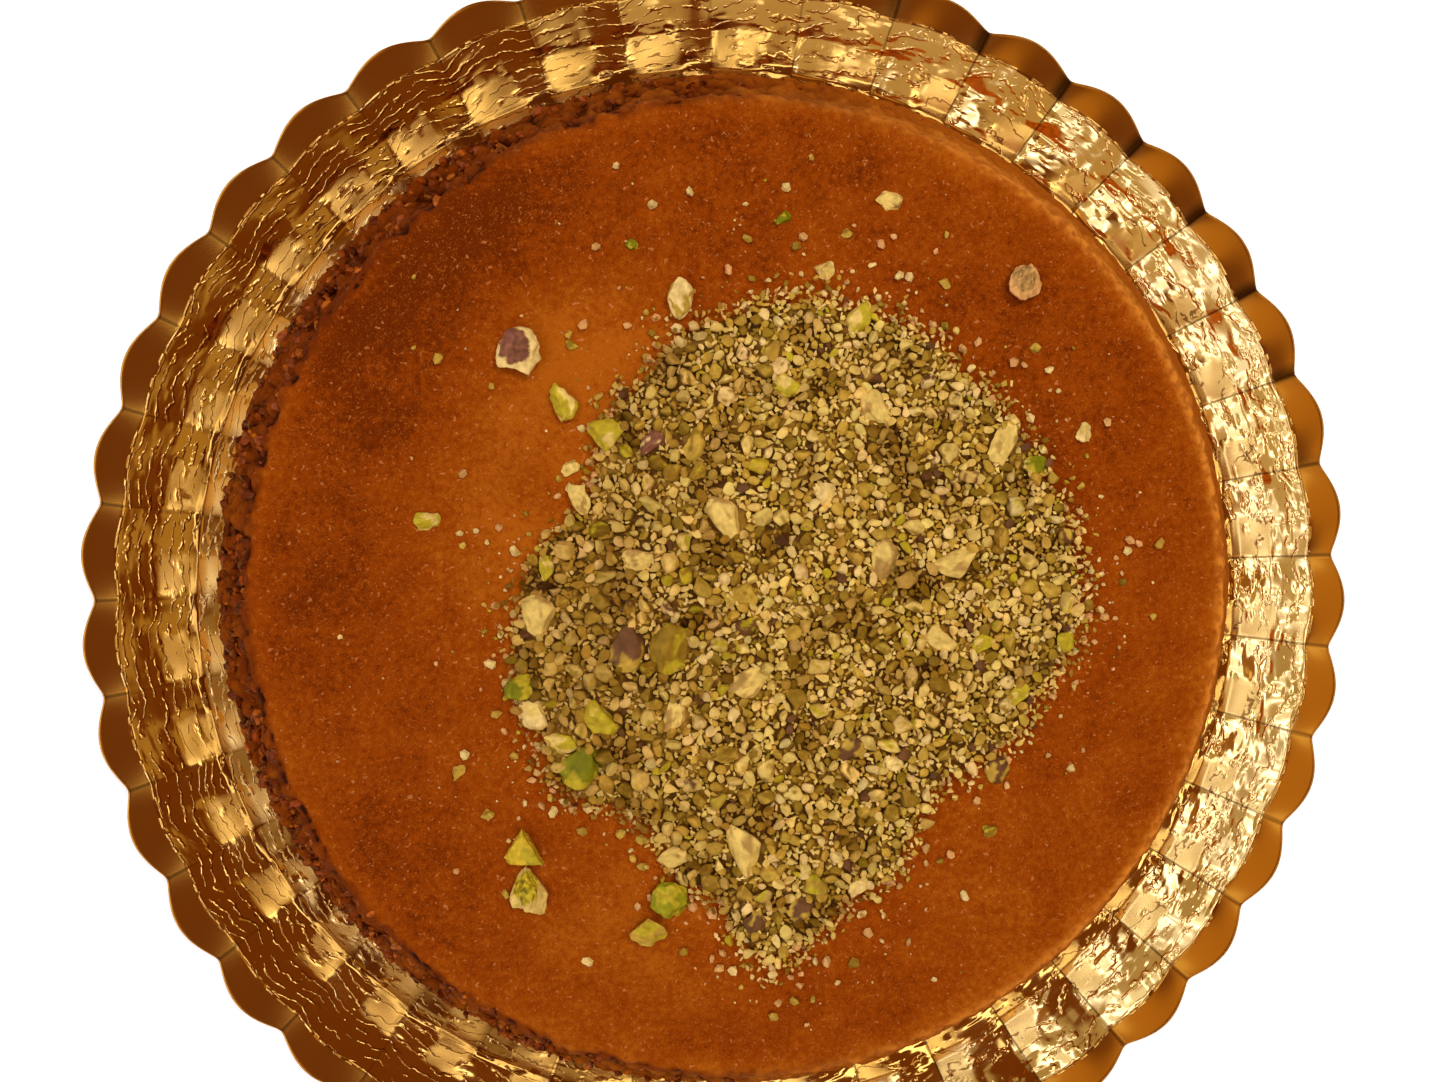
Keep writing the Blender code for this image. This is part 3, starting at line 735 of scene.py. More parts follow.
def crust_side(angles):
    """The side's rings of points, how burnt each is, with painted shade in its hollows, and how much
    painted light makes it lighter than the top.
    """
    rows = kunafa_side()
    shape = (len(rows), len(angles))

    radius, height, share_of_relief = rows.T[:, :, None]
    flat = round_axis(radius, angles, height).reshape(-1, 3)
    share = rough_share(angles)
    ridge = 1.0 - 2.0 * np.abs(noise(flat, 3.4 * MM, 12))
    near, number, _ = scattered_cells(flat, 3.2 * MM, 13)
    lumps = 0.8 * noise(flat, 8.0 * MM, 11) + 0.5 * ridge + 1.1 * (0.55 - near) + 0.8 * number
    lumps = (lumps + 0.4 * noise(flat, 1.3 * MM, 14)).reshape(shape)
    ragged = (SMOOTH_SIDE_SHARE + (1.0 - SMOOTH_SIDE_SHARE) * share) * share_of_relief
    push = CRAG_DEPTH * ragged * (0.55 * lumps - 0.12)
    rise = np.clip((height - KUNAFA_BOTTOM) / (KUNAFA_TOP - SHOULDER_DROP - KUNAFA_BOTTOM), 0.0, 1.0)
    side = round_axis(radius + push + edge_offset(angles) * rise, angles, height) + KUNAFA_CENTRE
    drop = 0.7 * MM * ragged * noise(flat, 3.0 * MM, 15).reshape(shape)
    side[1:-1, :, 2] += drop[1:-1]

    # the rough side is burnt, and darkened further with painted shade, most of all in the hollows
    # between its lumps
    patch = noise(flat, 4.0 * MM, 16).reshape(shape)
    past = (radius - SHOULDER_RADIUS + BURNT_REACH) / MM
    dark = smoothstep(0.0, 1.6, past + 1.3 * patch) * smoothstep(0.15, 0.6, share + 0.15 * patch)
    # painted light: the smooth side is made lighter than the top from just below its edge
    lighter = 0.55 * smoothstep(1.0, 3.5, (KUNAFA_TOP - height) / MM) * (1.0 - share)
    return side, np.maximum(dark * (0.95 - 0.40 * lumps), 0.0), lighter


def painted_rim_light(points):
    """How much painted light the smooth side's edge gets, most of all on the right."""
    middle = points - KUNAFA_CENTRE
    way = np.arctan2(middle[:, 1], middle[:, 0])
    reach = np.hypot(middle[:, 0], middle[:, 1]) / MM + 0.9 * noise(points, 2.5 * MM, 22)
    low = smoothstep(5.0, 12.0, (KUNAFA_TOP - points[:, 2]) / MM)
    smooth = (1.0 - rough_share(way)) * (0.6 + 0.4 * np.cos(way))
    return smooth * smoothstep(103.2, 105.8, reach) * (1.0 - low)


def build_kunafa():
    top, quads, rim, angles = crust_top()
    side, burnt_and_shade, lighter = crust_side(angles)
    points = np.concatenate([top, side.reshape(-1, 3)])
    rings = np.arange(side.shape[0] * side.shape[1]).reshape(side.shape[:2])
    joined = np.concatenate([rim[None], len(top) + rings])
    there = np.roll(joined, -1, axis=1)
    band = np.stack([joined[:-1], joined[1:], there[1:], there[:-1]], axis=-1).reshape(-1, 4).tolist()
    faces = quads + band + [joined[-1][::-1].tolist()]
    kunafa = make_mesh("kunafa_crusty", points, faces, [crust_material()])
    tone = crust_tone(points)
    tone[len(top):] += lighter.ravel()
    store(kunafa, "tone", tone)
    store(kunafa, "burnt_and_shade", np.concatenate([np.zeros(len(top)), burnt_and_shade.ravel()]))
    store(kunafa, "painted_rim_light", painted_rim_light(points))
    place_piece(kunafa, "kunafa_crust", "kunafa")


def build_side_crumbs():
    """Dark crumbs caught on the rough side, most of them where it is roughest."""
    rng = np.random.default_rng(41)
    angles = rng.uniform(0.0, TURN, CRUMBS)
    angles = angles[rng.uniform(size=len(angles)) < smoothstep(0.3, 0.8, rough_share(angles))]
    count = len(angles)
    down = rng.uniform(0.0, 1.0, count) ** 0.9 * 1.12 - 0.12
    length = rng.uniform(0.9, 1.95, count) ** 2 * MM * (0.4 + 0.6 * rough_share(angles))
    start = KUNAFA_TOP - SHOULDER_DROP
    radius = SHOULDER_RADIUS + (BASE_RADIUS - SHOULDER_RADIUS) * down
    radius += 0.7 * edge_offset(angles) * np.clip(1.0 - down, 0.0, 1.0) - 0.1 * length
    height = start + (KUNAFA_BOTTOM + 1.0 * MM - start) * down
    middle = round_axis(radius, angles, height) + KUNAFA_CENTRE
    size = grain_sizes(rng, length, (0.5, 0.9), (0.4, 0.8))
    stones = [chopped_kernel(rng, 2) for _ in range(24)]
    palette = [((98, 35, 4), 5), ((134, 56, 8), 4), ((172, 88, 20), 2), ((142, 66, 30), 1)]
    tints = pick_tints(rng, count, palette, 0.4)
    turns = turned(rng, count, 1.5)
    crumbs = join_stones("side_crumbs", rng, stones, middle, size, turns, tints, crumb_material())
    place_piece(crumbs, "kunafa_crust")


# ---------------------------------------------------------------- heap

def outline_table():
    polar = []
    for x, y in HEAP_OUTLINE_MM:
        offset = np.array((x * MM, y * MM)) - HEAP_CENTRE[:2]
        polar.append((math.atan2(offset[1], offset[0]) % TURN, math.hypot(*offset)))
    polar.sort()
    return [(polar[-1][0] - TURN, polar[-1][1])] + polar + [(polar[0][0] + TURN, polar[0][1])]


OUTLINE = np.array(outline_table())


def outline_radius(angles):
    angles = np.asarray(angles) % TURN
    segment = np.clip(np.searchsorted(OUTLINE[:, 0], angles) - 1, 0, len(OUTLINE) - 2)
    start, end = OUTLINE[segment], OUTLINE[segment + 1]
    share = 0.5 - 0.5 * np.cos(math.pi * (angles - start[..., 0]) / (end[..., 0] - start[..., 0]))
    return start[..., 1] + (end[..., 1] - start[..., 1]) * share


def share_of_outline(x, y):
    """0 at the heap's centre, 1 at its outline."""
    dx, dy = x - HEAP_CENTRE[0], y - HEAP_CENTRE[1]
    return np.hypot(dx, dy) / outline_radius(np.arctan2(dy, dx))


def heap_height(share):
    return HEAP_BASE + HEAP_EDGE + HEAP_RISE * (1.0 - np.minimum(share, 1.0) ** HEAP_FULLNESS)


def skin_shade(points):
    """What the tints are multiplied by where the heap holds more brown skin."""
    share = smoothstep(0.06, 0.40, noise(points * (1.0, 1.0, 0.0), 10.0 * MM, 33))[:, None]
    return 1.0 - share * (0.40, 0.50, 0.66)


def build_core():
    """The core under the loose grains, its relief as fine as the finest of them."""
    disc, quads, rim = disc_grid(HEAP_GRID)
    share = np.hypot(disc[:, 0], disc[:, 1])
    reach = outline_radius(np.arctan2(disc[:, 1], disc[:, 0]))[:, None]
    plan = np.column_stack([disc * reach, np.zeros(len(disc))]) + HEAP_CENTRE
    near, number, _ = scattered_cells(plan, 2.0 * MM, 31)
    relief = 0.7 * MM * (0.6 - near) + 0.35 * MM * number + 0.3 * MM * noise(plan, 5.0 * MM, 32)
    upper = plan.copy()
    upper[:, 2] = heap_height(share) - 0.35 * MM + relief * (share < 0.999)
    lower = plan[rim].copy()
    lower[:, 2] = HEAP_BASE
    start = len(upper)
    count = len(rim)
    ring = start + np.arange(count)
    side = np.stack([rim, ring, np.roll(ring, -1), np.roll(rim, -1)], axis=-1).tolist()
    points = np.concatenate([upper, lower])
    faces = quads + side + [ring[::-1].tolist()]
    core = make_mesh("pistachio_core", points, faces, [nut_material("pistachio_fine")])
    # the core is darker than the grains, partly painted shade in the gaps between them, and darker
    # still in its hollows, which is painted shade
    tints = np.where((number > 0.1)[:, None], linear((160, 118, 38)), linear((112, 72, 14)))
    tints = tints * (0.55 + 0.6 * np.clip(1.0 - near, 0.0, 1.0))[:, None] * skin_shade(plan)
    paint(core, "tint", np.concatenate([tints, tints[rim]]))
    place_piece(core, "pistachio_chopped", "pistachio_heap")


def points_and_faces(builder):
    """What a bmesh holds, as arrays. The bmesh is freed."""
    builder.verts.index_update()
    points = np.array([vert.co for vert in builder.verts])
    faces = np.array([[vert.index for vert in face.verts] for face in builder.faces])
    builder.free()
    return points, faces


def cut_stone(rng, subdivisions, cuts, depth=(0.24, 0.44), roughness=0.05, bend=0.5):
    """An angular chip one unit long: a ball cut by random planes and bent a little."""
    builder = bmesh.new()
    bmesh.ops.create_icosphere(builder, subdivisions=subdivisions, radius=0.56)
    points, faces = points_and_faces(builder)
    points *= 1.0 + roughness * rng.uniform(-1.0, 1.0, (len(points), 1))
    for _ in range(cuts):
        way = rng.normal(size=3)
        way /= np.linalg.norm(way)
        over = np.maximum(points @ way - rng.uniform(*depth), 0.0)
        points -= over[:, None] * way
    points[:, 1] += rng.uniform(-bend, bend) * points[:, 0] ** 2
    return unit_box(points), faces


def chopped_kernel(rng, subdivisions, sides=()):
    """A chopped piece of kernel one unit long: a lumpy ball, cut by planes, bitten and roughened.

    `sides` are the piece's own straight sides, if any, as direction in degrees and distance.
    """
    points, faces = cut_stone(rng, subdivisions, 7, (0.26, 0.44), 0.0, 0.3)
    start = rng.uniform(0.0, 50.0, 3)
    for direction, distance in sides:
        turn = math.radians(direction)
        way = np.array((math.cos(turn), math.sin(turn), 0.0))
        points -= np.maximum(points @ way - distance, 0.0)[:, None] * way
    points *= 1.0 + 0.20 * noise(points + start, 0.5, 1)[:, None]
    for _ in range(3):
        turn = rng.uniform(0.0, TURN)
        middle = np.array((0.62 * math.cos(turn), 0.62 * math.sin(turn), rng.uniform(-0.2, 0.3)))
        way = points - middle
        away = np.linalg.norm(way, axis=1)
        points += way / away[:, None] * np.maximum(rng.uniform(0.18, 0.30) - away, 0.0)[:, None]
    points *= 1.0 + 0.07 * noise(points + start, 0.16, 2)[:, None]
    return unit_box(points), faces


def patched(shape, number):
    """How far each point of a stone has the other colour of its patches."""
    spread = noise(shape + 7.0 * number, 0.5, 5) + 0.35 * noise(shape + 3.0 * number, 0.17, 6)
    return smoothstep(0.10, 0.28, spread)[:, None]


def mottled(shape, number):
    """Lighter and darker spots over a stone."""
    return 1.0 + 0.26 * noise(shape + 5.0 * number, 0.13, 7)[:, None]


def chip(rng, corners):
    """A small sharp chip one unit long: the hull of a few random points."""
    builder = bmesh.new()
    for corner in rng.normal(size=(corners, 3)):
        builder.verts.new(corner / np.linalg.norm(corner) * rng.uniform(0.8, 1.0))
    bmesh.ops.convex_hull(builder, input=builder.verts)
    inside = [vert for vert in builder.verts if not vert.link_faces]
    bmesh.ops.delete(builder, geom=inside, context="VERTS")
    points, faces = points_and_faces(builder)
    return unit_box(points), faces


def spread_places(rng, sizes, inside, box, spacing, taken=()):
    """Places for pieces of these sizes, largest first, so that few of them overlap."""
    cell = 4.0 * MM
    grid = {}

    def put(x, y, size):
        grid.setdefault((int(x // cell), int(y // cell)), []).append((x, y, size))

    def crowded(x, y, size, span):
        for across, up in itertools.product(range(-span, span + 1), repeat=2):
            square = (int(x // cell) + across, int(y // cell) + up)
            for other_x, other_y, other in grid.get(square, ()):
                if math.hypot(other_x - x, other_y - y) < spacing * (size + other) / 2:
                    return True
        return False

    for place in taken:
        put(*place)
    places = []
    for size in sorted(sizes, reverse=True):
        span = 1 + int((size + LARGEST_PIECE) * spacing / 2 / cell)
        for _ in range(TRIES):
            x, y = rng.uniform(box[0], box[1]), rng.uniform(box[2], box[3])
            if inside(x, y, size, rng) and not crowded(x, y, size, span):
                put(x, y, size)
                places.append((x, y, size))
                break
    return np.array(places)


def turned(rng, count, tilt):
    """Random turns about Z after a random tilt of up to `tilt` radians."""
    turns = []
    for _ in range(count):
        lean = [Matrix.Rotation(rng.uniform(-tilt, tilt), 3, axis) for axis in "XY"]
        turns.append(Matrix.Rotation(rng.uniform(0.0, TURN), 3, "Z") @ (lean[0] @ lean[1]))
    return np.array(turns)


def grain_sizes(rng, length, width, height):
    """Length, width and height of each grain, the last two as random shares of its length."""
    shares = [rng.uniform(*share, len(length)) for share in (width, height)]
    return length[:, None] * np.column_stack([np.ones(len(length)), *shares])


def join_stones(name, rng, stones, places, scales, turns, tints, material, patches=None):
    """All the pieces of one kind as one mesh, each a turned and scaled copy of one stone."""
    kind = rng.integers(0, len(stones), len(places))
    points, faces, colours = [], [], []
    offset = 0
    for index, (shape, triangles) in enumerate(stones):
        chosen = np.flatnonzero(kind == index)
        if not len(chosen):
            continue
        bodies = shape[None] * scales[chosen][:, None, :]
        bodies = np.einsum("nij,nkj->nki", turns[chosen], bodies) + places[chosen][:, None, :]
        points.append(bodies.reshape(-1, 3))
        starts = offset + np.arange(len(chosen)) * len(shape)
        faces.append((triangles[None] + starts[:, None, None]).reshape(-1, 3))
        own = np.repeat(tints[chosen], len(shape), axis=0)
        if patches is not None:
            share = np.tile(patched(shape, index), (len(chosen), 1))
            own = own + share * (np.repeat(patches[chosen], len(shape), axis=0) - own)
            own *= np.tile(mottled(shape, index), (len(chosen), 1))
        colours.append(own)
        offset += len(chosen) * len(shape)
    # the kinds without patches are small and keep their facets
    faces = np.concatenate(faces).tolist()
    thing = make_mesh(name, np.concatenate(points), faces, [material], patches is not None)
    paint(thing, "tint", np.concatenate(colours))
    return thing


def pick_tints(rng, count, palette, spread=0.14):
    """A tint for each piece from (colour, weight) pairs, each varied a little."""
    weights = np.array([weight for _, weight in palette], float)
    index = rng.choice(len(palette), count, p=weights / weights.sum())
    tints = np.array([linear(colour) for colour, _ in palette])[index]
    tints = tints * rng.uniform(1.0 - spread, 1.0 + spread, (count, 1))
    return tints * rng.uniform(0.96, 1.04, (count, 3))


# x, y, length, width (mm), turn (degrees) and tint of the largest pieces on the heap
HEAP_KERNELS = [
    (-27, 36, 8.1, 7.2, 0, GREEN), (57.5, 34.5, 10.2, 6, 80, PALE),
    (-45.5, -17, 6.2, 5.8, 0, DEEP_GREEN), (-42.5, -23, 7.6, 6.2, -30, CREAM),
    (-41, -2, 10.2, 7.4, 100, PALE), (-32.5, -34, 10.2, 8.1, 60, DEEP_GREEN),
    (27, -61.5, 4.8, 4.5, 0, CREAM), (-13, -54, 7.6, 4.8, 10, PALE),
    (-36.5, -29, 7.4, 4.8, 10, GREEN), (72, -8, 5.8, 4.7, 40, GREEN),
    (61.5, -19.5, 5.8, 4.1, 60, GREEN), (-1.5, 18.5, 11.6, 6.4, 125, PALE),
    (-13.5, -9, 11.6, 9.3, 70, OLIVE), (-22.5, -8.5, 11.2, 7.4, 80, SKIN),
    (3, -16.5, 9.9, 6, 25, PALE), (47, 8.5, 10.2, 6, 20, PALE),
    (31.5, 10, 8.5, 7.2, 120, PALE), (44, -7, 7.8, 5.8, 0, PALE),
    (2.5, -52, 12.6, 6.8, 110, PALE), (-28.5, -23.5, 8.7, 7.8, 0, GREEN),
    (2, 2.5, 6.2, 5.2, 0, KHAKI), (-17.5, 34, 6.4, 4.8, 60, PURPLE),
    (-8.5, 34, 7.6, 4.8, 80, KHAKI), (29.5, 41.5, 8.5, 6, 110, PALE),
    (-20, 10, 7.6, 5.2, 10, PALE), (-12.5, -23, 8.5, 4.5, 70, PALE),
    (26.5, 61, 7.8, 5.2, 70, GREEN), (19, 23.5, 5.4, 5.2, 0, CREAM),
    (11, 46.5, 6.2, 5.4, 0, GREEN), (53.5, -8.5, 5.4, 4.8, 0, GREEN),
    (25, -30.5, 6.6, 5.4, 30, SKIN), (14, -65.5, 6.8, 5.4, 20, SKIN),
    (4.5, -68, 5.8, 4.8, 60, SKIN), (65, 30, 5.2, 4.7, 30, DEEP_GREEN),
    (-39.5, 8, 5.8, 3.1, 100, GREEN), (-32.5, 22.5, 7.2, 4.4, 105, PALE),
]
# the same for the small pieces stuck to the crust
STUCK_PIECES = [
    (57.5, -36, 6.8, 6, 70, SKIN), (-64.5, 18, 5.8, 4.3, 10, GREEN),
    (33, 86, 5.6, 4.5, -20, PALE), (10.5, 82, 3.7, 3.1, 0, DEEP_GREEN),
    (76, 37, 4.5, 3.7, 80, CREAM), (56, -50, 3.3, 2.7, 0, OLIVE),
    (-58.5, -35.5, 3.9, 2.7, 80, KHAKI), (-52.5, -44.5, 3.1, 2.3, 0, KHAKI),
    (-34.5, 29, 4.3, 3.5, 60, PALE), (24, 79, 2.7, 2.3, 0, KHAKI),
    (-21.5, 76, 2.9, 2.5, 0, DEEP_GREEN), (-34, 55, 2.7, 2.3, 0, OLIVE),
    (-31.5, -77, 2.7, 2.1, 0, CREAM), (45, 68.5, 2.7, 2.3, 0, KHAKI),
    (19.5, 71, 4.3, 3.5, 20, PALE), (65, 55, 2.7, 2.3, 0, KHAKI),
]


def build_kernels(material):
    """The largest pieces of the heap, and the small ones stuck to the crust."""
    for name, rows in (("pistachio_kernels", HEAP_KERNELS), ("stuck_pieces", STUCK_PIECES)):
        rng = np.random.default_rng(len(rows))
        stones = [chopped_kernel(rng, 4) for _ in rows]
        middle = np.array([(row[0] * MM, row[1] * MM, 0.0) for row in rows])
        size = np.array([(row[2] * MM, row[3] * MM, row[3] * FLATNESS * MM) for row in rows])
        ground = heap_height(share_of_outline(middle[:, 0], middle[:, 1]))
        if rows is STUCK_PIECES:
            ground = np.full(len(rows), KUNAFA_TOP)
        middle[:, 2] = ground + 0.05 * size[:, 2]
        turns = np.array([Matrix.Rotation(math.radians(row[4]), 3, "Z") for row in rows])
        tints = np.array([linear(row[5]) for row in rows])
        patches = np.array([linear(PATCHES[row[5]]) for row in rows])
        thing = join_stones(name, rng, stones, middle, size, turns, tints, material, patches)
        place_piece(thing, "pistachio_chopped")


def build_grains(material):
    """Coarse, medium and fine grains over the core, coarser towards the left."""
    rng = np.random.default_rng(7)
    box = (-60.0 * MM, 90.0 * MM, -90.0 * MM, 80.0 * MM)
    kernels = [(row[0] * MM, row[1] * MM, 0.8 * row[2] * MM) for row in HEAP_KERNELS]

    def on_heap(x, y, size, draw):
        limit = 1.0 + draw.normal(0.0, 0.04)
        fewer = math.tanh((x + 0.3 * y) / (30.0 * MM)) / 2.0
        if size > 1.7 * MM and draw.uniform() > 0.45 + 0.55 * (0.5 - fewer):
            return False
        return share_of_outline(x, y) < limit - 0.5 * size / HEAP_RADIUS

    counts = ((COARSE, 150), (MEDIUM, 2000), (FINE, 13000))
    sizes = np.concatenate([rng.uniform(*limits, count) for limits, count in counts])
    places = spread_places(rng, sizes, on_heap, box, 0.76, kernels)
    kinds = (
        ("coarse_grains", COARSE, 40, lambda: chopped_kernel(rng, 3)),
        ("medium_grains", MEDIUM, 24, lambda: cut_stone(rng, 2, 6)),
        ("fine_grains", FINE, 12, lambda: chip(rng, 9)),
    )
    palette = [(PALE, 10), (CREAM, 3), (KHAKI, 7), (OLIVE, 2.5), (GREEN, 0.5), (SKIN, 0.5)]
    for name, limits, variety, make_stone in kinds:
        own = places[(places[:, 2] >= limits[0]) & (places[:, 2] < limits[1])]
        count = len(own)
        stones = [make_stone() for _ in range(variety)]
        length = own[:, 2]
        stretch = rng.uniform(0.95, 1.25, count)
        size = grain_sizes(rng, length, (0.65, 0.98), (0.5, 0.85))
        size[:, 0] *= stretch
        height = heap_height(share_of_outline(own[:, 0], own[:, 1])) + 0.10 * length
        middle = np.column_stack([own[:, :2], height + rng.uniform(0.0, 0.8 * MM, count)])
        tints = pick_tints(rng, count, palette) * skin_shade(middle)
        # painted shade: the grains darken towards the left, the side away from the key light
        tints *= 1.0 - smoothstep(10.0 * MM, -40.0 * MM, own[:, :1]) * (0.28, 0.36, 0.46)
        patches = None
        if name == "coarse_grains":
            patches = pick_tints(rng, count, [(KHAKI, 4), (OLIVE, 3), (GREEN, 2), (SKIN, 1)])
        turns = turned(rng, count, 0.6)
        thing = join_stones(name, rng, stones, middle, size, turns, tints, material, patches)
        place_piece(thing, "pistachio_chopped")


def build_scatter(material):
    """Fine grains that lie on the crust round the heap."""
    rng = np.random.default_rng(19)
    box = (-90.0 * MM, 95.0 * MM, -95.0 * MM, 95.0 * MM)

    def round_heap(x, y, size, draw):
        share = share_of_outline(x, y)
        away = (share - 1.0) * HEAP_RADIUS / MM
        reach = math.hypot(x - KUNAFA_CENTRE[0], y - KUNAFA_CENTRE[1])
        inside = share > 0.985 and reach < SCATTER_REACH
        return inside and draw.uniform() < math.exp(-away / 4.5) + STRAYS

    sizes = rng.uniform(0.5 * MM, 1.0, 1400) ** 2 * 2.1 * MM + 0.5 * MM
    places = spread_places(rng, sizes, round_heap, box, 0.9)
    size = grain_sizes(rng, places[:, 2], (0.6, 0.95), (0.5, 0.8))
    middle = np.column_stack([places[:, :2], KUNAFA_TOP + 0.25 * places[:, 2]])
    stones = [cut_stone(rng, 1, 5) for _ in range(12)]
    palette = [(WARM, 8), (CREAM, 5), (KHAKI, 4), (OLIVE, 1), (GREEN, 0.6)]
    tints = pick_tints(rng, len(places), palette)
    turns = turned(rng, len(places), 0.6)
    thing = join_stones("loose_scatter", rng, stones, middle, size, turns, tints, material)
    place_piece(thing, "pistachio_chopped")


# tint, the colour of its patches, how wide a rim of that colour is, and how spotted the piece is
LONE_TINTS = {
    "purple": (PURPLE, CREAM, 0.13, 0.7), "pale": (DUSTY, WARM, 0.13, 0.7),
    "slab": (CREAM, KHAKI, 0.0, 0.0), "triangle": (YELLOW, GREEN, 0.0, 0.0),
    "speckled": (GREEN, PALE, 0.17, 1.2), "green": (LIME, GREEN, 0.0, 0.0),
    "pear": (GREEN, PALE, 0.0, 0.0), "low": (KHAKI, GREEN, 0.0, 0.0),
}
TRIANGLE_SIDES = ((-90, 0.30), (28, 0.20), (152, 0.24))
SLOTS = {row["node"]: row["material_slot"] for row in frame["record"]["subparts"]}


def build_lone_pieces(material):
    """The large pieces that lie by themselves, each filling its own node's box."""
    for number, (name, (tint, patch, rim, spots)) in enumerate(LONE_TINTS.items()):
        node = "pistachio_piece_" + name
        rng = np.random.default_rng(300 + number)
        low, high = (np.array(corner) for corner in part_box(node))
        sides = TRIANGLE_SIDES if name == "triangle" else ()
        shape, faces = chopped_kernel(rng, 5, sides)
        points = (shape + 0.5) * (high - low) + low
        piece = make_mesh(node + "_fine", points, faces.tolist(), [material])
        share = patched(shape, number)
        if rim:
            reach = np.hypot(shape[:, 0] + 0.07, shape[:, 1] - 0.09) + 0.10 * noise(shape, 0.22, 9)
            share = smoothstep(0.47 - rim, 0.50 - rim, reach)[:, None]
        own = linear(tint) * np.clip(1.0 + spots * noise(shape, 0.10, 10), 0.35, 1.4)[:, None]
        tints = own + share * (linear(patch) - own)
        paint(piece, "tint", tints * mottled(shape, number))
        place_piece(piece, SLOTS[node], node)


# ---------------------------------------------------------------- studio

def build_floor():
    """A pale sheet of paper, just clear of the plate's underside."""
    bpy.ops.mesh.primitive_plane_add(size=6.0, location=(0.0, 0.0, -0.2 * MM))
    floor = bpy.context.object
    floor.name = "floor"
    paper = Shader("floor_paper", roughness=0.9, specular_ior_level=0.0)
    paper.colour((*linear((250, 250, 250)), 1.0))
    paper.main.inputs["Emission Color"].default_value = (1.0, 1.0, 1.0, 1.0)
    paper.main.inputs["Emission Strength"].default_value = 0.35
    floor.data.materials.append(paper.material)


def add_light(name, azimuth, elevation, distance, width, power):
    """A soft square light that looks at the dish and that the foil doesn't mirror."""
    light = bpy.data.lights.new(name, "AREA")
    light.shape = "RECTANGLE"
    light.size, light.size_y = width, width
    light.energy = power
    lamp = bpy.data.objects.new(name, light)
    bpy.context.scene.collection.objects.link(lamp)
    way = pointing(azimuth, elevation)
    lamp.visible_glossy = False
    lamp.location = way * distance
    lamp.rotation_euler = way.to_track_quat("Z", "Y").to_euler()


# radiance of the room itself and of the hot spots in its bands
DIM = (0.155, 0.045, 0.006)
HOT = (4.0, 4.4, 7.0)
# round patches of the room that the foil mirrors: azimuth, elevation, full and faded radius in
# degrees, and radiance
SKY_PATCHES = [
    (199.0, 38.0, 24.0, 30.0, (0.54, 0.45, 0.34)),
    (150.0, 46.0, 20.0, 28.0, (0.44, 0.36, 0.25)),
    (-102.0, 42.0, 17.0, 27.0, (0.50, 0.38, 0.24)),
    (-91.0, 46.0, 4.0, 8.0, (1.6, 1.5, 1.5)),
    (155.0, 71.0, 10.0, 14.0, (0.30, 0.13, 0.03)),
    (203.0, 66.0, 7.0, 9.0, (0.50, 0.38, 0.24)),
    (190.0, 81.0, 9.0, 12.0, (0.54, 0.26, 0.05)),
    (172.0, 75.0, 3.0, 6.0, (0.95, 0.70, 0.35)),
    (-5.0, 48.0, 6.0, 15.0, (0.40, 0.24, 0.07)),
    (-34.0, 45.0, 4.0, 12.0, (0.38, 0.23, 0.07)),
]
# bands across it: azimuth of the middle, reach either way, elevation there and its rise for each
# degree of azimuth, full and faded half height, radiance, and how far apart hot spots are, if any
SKY_BANDS = [
    (180.0, 60.0, 59.8, -0.057, 2.8, 4.8, (1.35, 1.5, 2.3), 17.0),
    (184.0, 60.0, 43.8, -0.070, 1.5, 4.5, (1.0, 1.1, 1.6), 13.0),
    (-10.0, 92.0, 62.2, 0.050, 2.5, 4.2, (2.3, 2.1, 1.9), 0.0),
]


def pointing(azimuth, elevation):
    """The unit vector towards an azimuth and elevation in degrees."""
    turn, rise = math.radians(azimuth), math.radians(elevation)
    return Vector((math.cos(rise) * math.cos(turn), math.cos(rise) * math.sin(turn), math.sin(rise)))


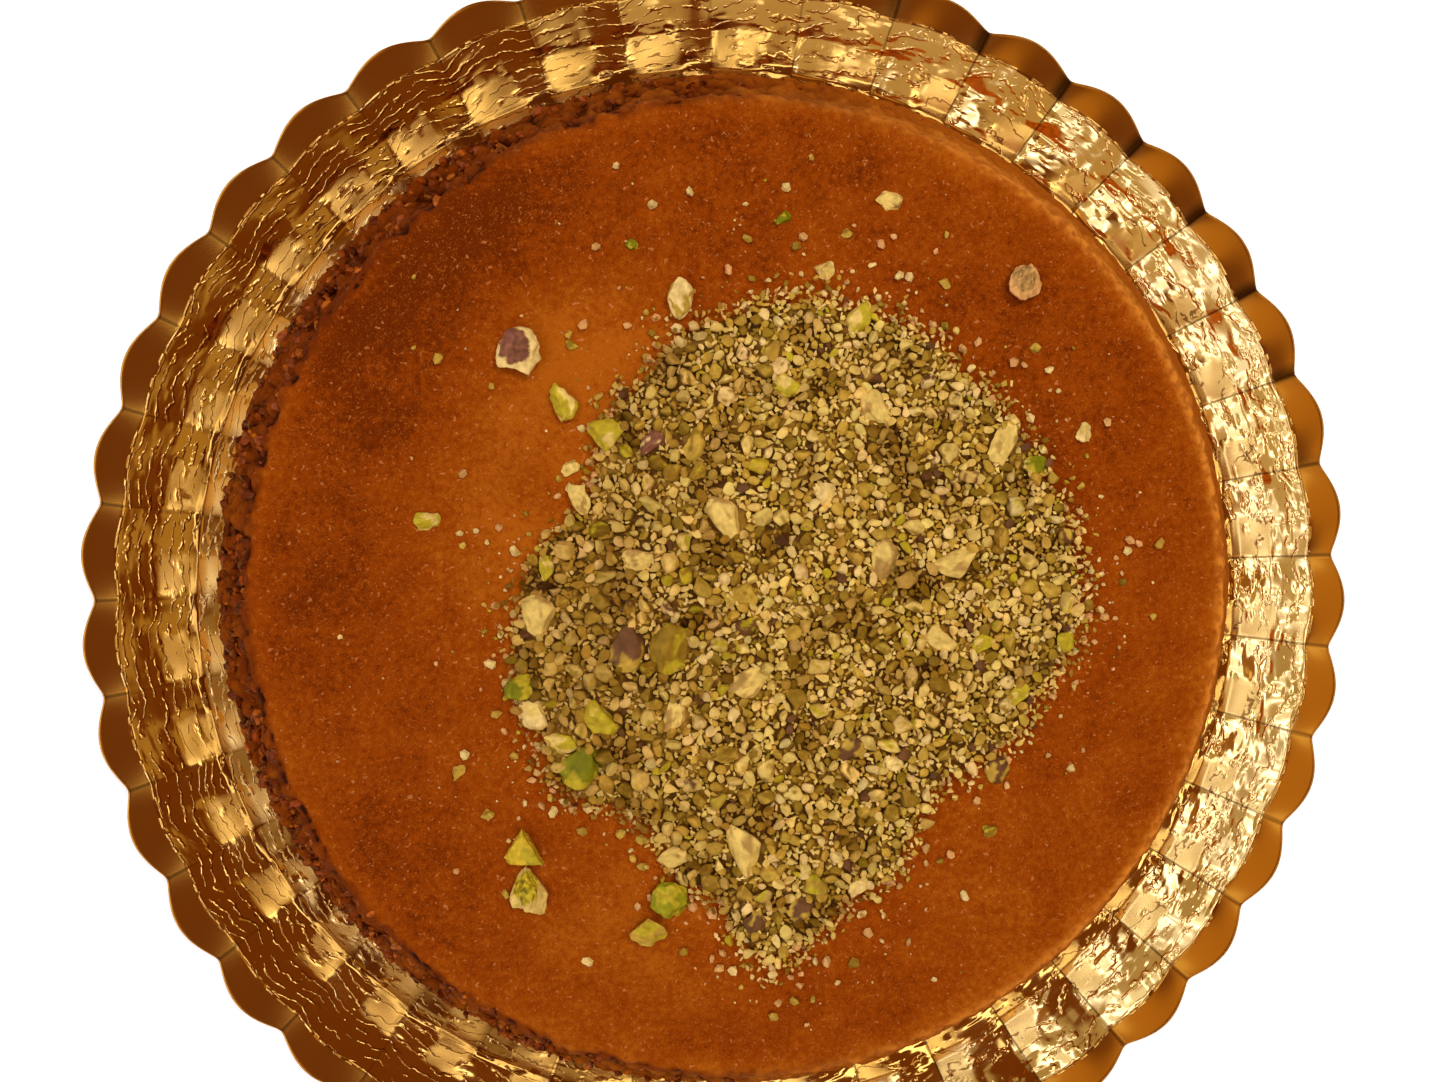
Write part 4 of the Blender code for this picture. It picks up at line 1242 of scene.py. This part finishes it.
def build_world():
    """A dim warm room with soft bright patches and bands, which only the reflections show."""
    world = bpy.data.worlds.new("studio")
    bpy.context.scene.world = world
    world.use_nodes = True
    room = Nodes(world.node_tree)
    way = room.node("ShaderNodeTexCoord").outputs["Generated"]
    elevation = room.math("ARCSINE", room.along(way, (0.0, 0.0, 1.0)))
    light = DIM
    for azimuth, rise, full, faded, radiance in SKY_PATCHES:
        near = room.along(way, pointing(azimuth, rise))
        share = room.span(near, math.cos(math.radians(faded)), math.cos(math.radians(full)))
        light = room.mix(share, light, radiance)
    for azimuth, reach, rise, slope, full, faded, radiance, spacing in SKY_BANDS:
        across, ahead = (room.along(way, pointing(azimuth + more, 0.0)) for more in (90.0, 0.0))
        turn = room.math("ARCTAN2", across, ahead)
        path = room.math("MULTIPLY_ADD", turn, slope, math.radians(rise))
        off = room.apart(elevation, path)
        inner, outer = math.radians(reach - 6.0), math.radians(reach)
        ends = room.span(room.math("ABSOLUTE", turn), inner, outer, 1.0, 0.0)
        share = room.times(ends, room.span(off, math.radians(full), math.radians(faded), 1.0, 0.0))
        light = room.mix(share, light, radiance)
        if spacing:
            beads = room.span(room.math("COSINE", room.times(turn, 360.0 / spacing)), 0.5, 0.9)
            light = room.mix(room.times(share, beads), light, HOT)
    camera_ray = room.node("ShaderNodeLightPath").outputs["Is Camera Ray"]
    seen = room.mix(camera_ray, light, (0.92, 0.92, 0.92))
    room.wire(seen, room.tree.nodes["Background"].inputs[0])


def build_studio():
    build_floor()
    build_world()
    add_light("key_from_the_right", 52.0, 63.0, 0.9, 0.26, 2.8)
    add_light("fill_from_above", 200.0, 78.0, 1.2, 1.2, 2.6)
    scene = bpy.context.scene
    scene.view_settings.view_transform = "Standard"
    scene.view_settings.look = "None"


def build_camera():
    """The photograph's own viewpoint: almost straight above, close, with a wide lens."""
    camera = bpy.data.cameras.new("camera")
    camera.sensor_width = 36.0
    camera.lens = 27.5
    camera.clip_start = 0.01
    body = bpy.data.objects.new("camera", camera)
    bpy.context.scene.collection.objects.link(body)
    body.location = (-15.15 * MM, 23.14 * MM, 254.31 * MM)
    forward = Vector((0.05212, -0.04046, -0.99782))
    right = Vector((0.99864, 0.0, 0.05216))
    turn = Matrix((right, right.cross(forward), -forward)).transposed()
    body.rotation_euler = turn.to_euler()
    bpy.context.scene.camera = body


build_camera()
build_studio()
build_plate()
build_kunafa()
build_side_crumbs()
build_core()
nut = nut_material()
build_kernels(nut)
build_grains(nut)
build_scatter(nut)
build_lone_pieces(nut)
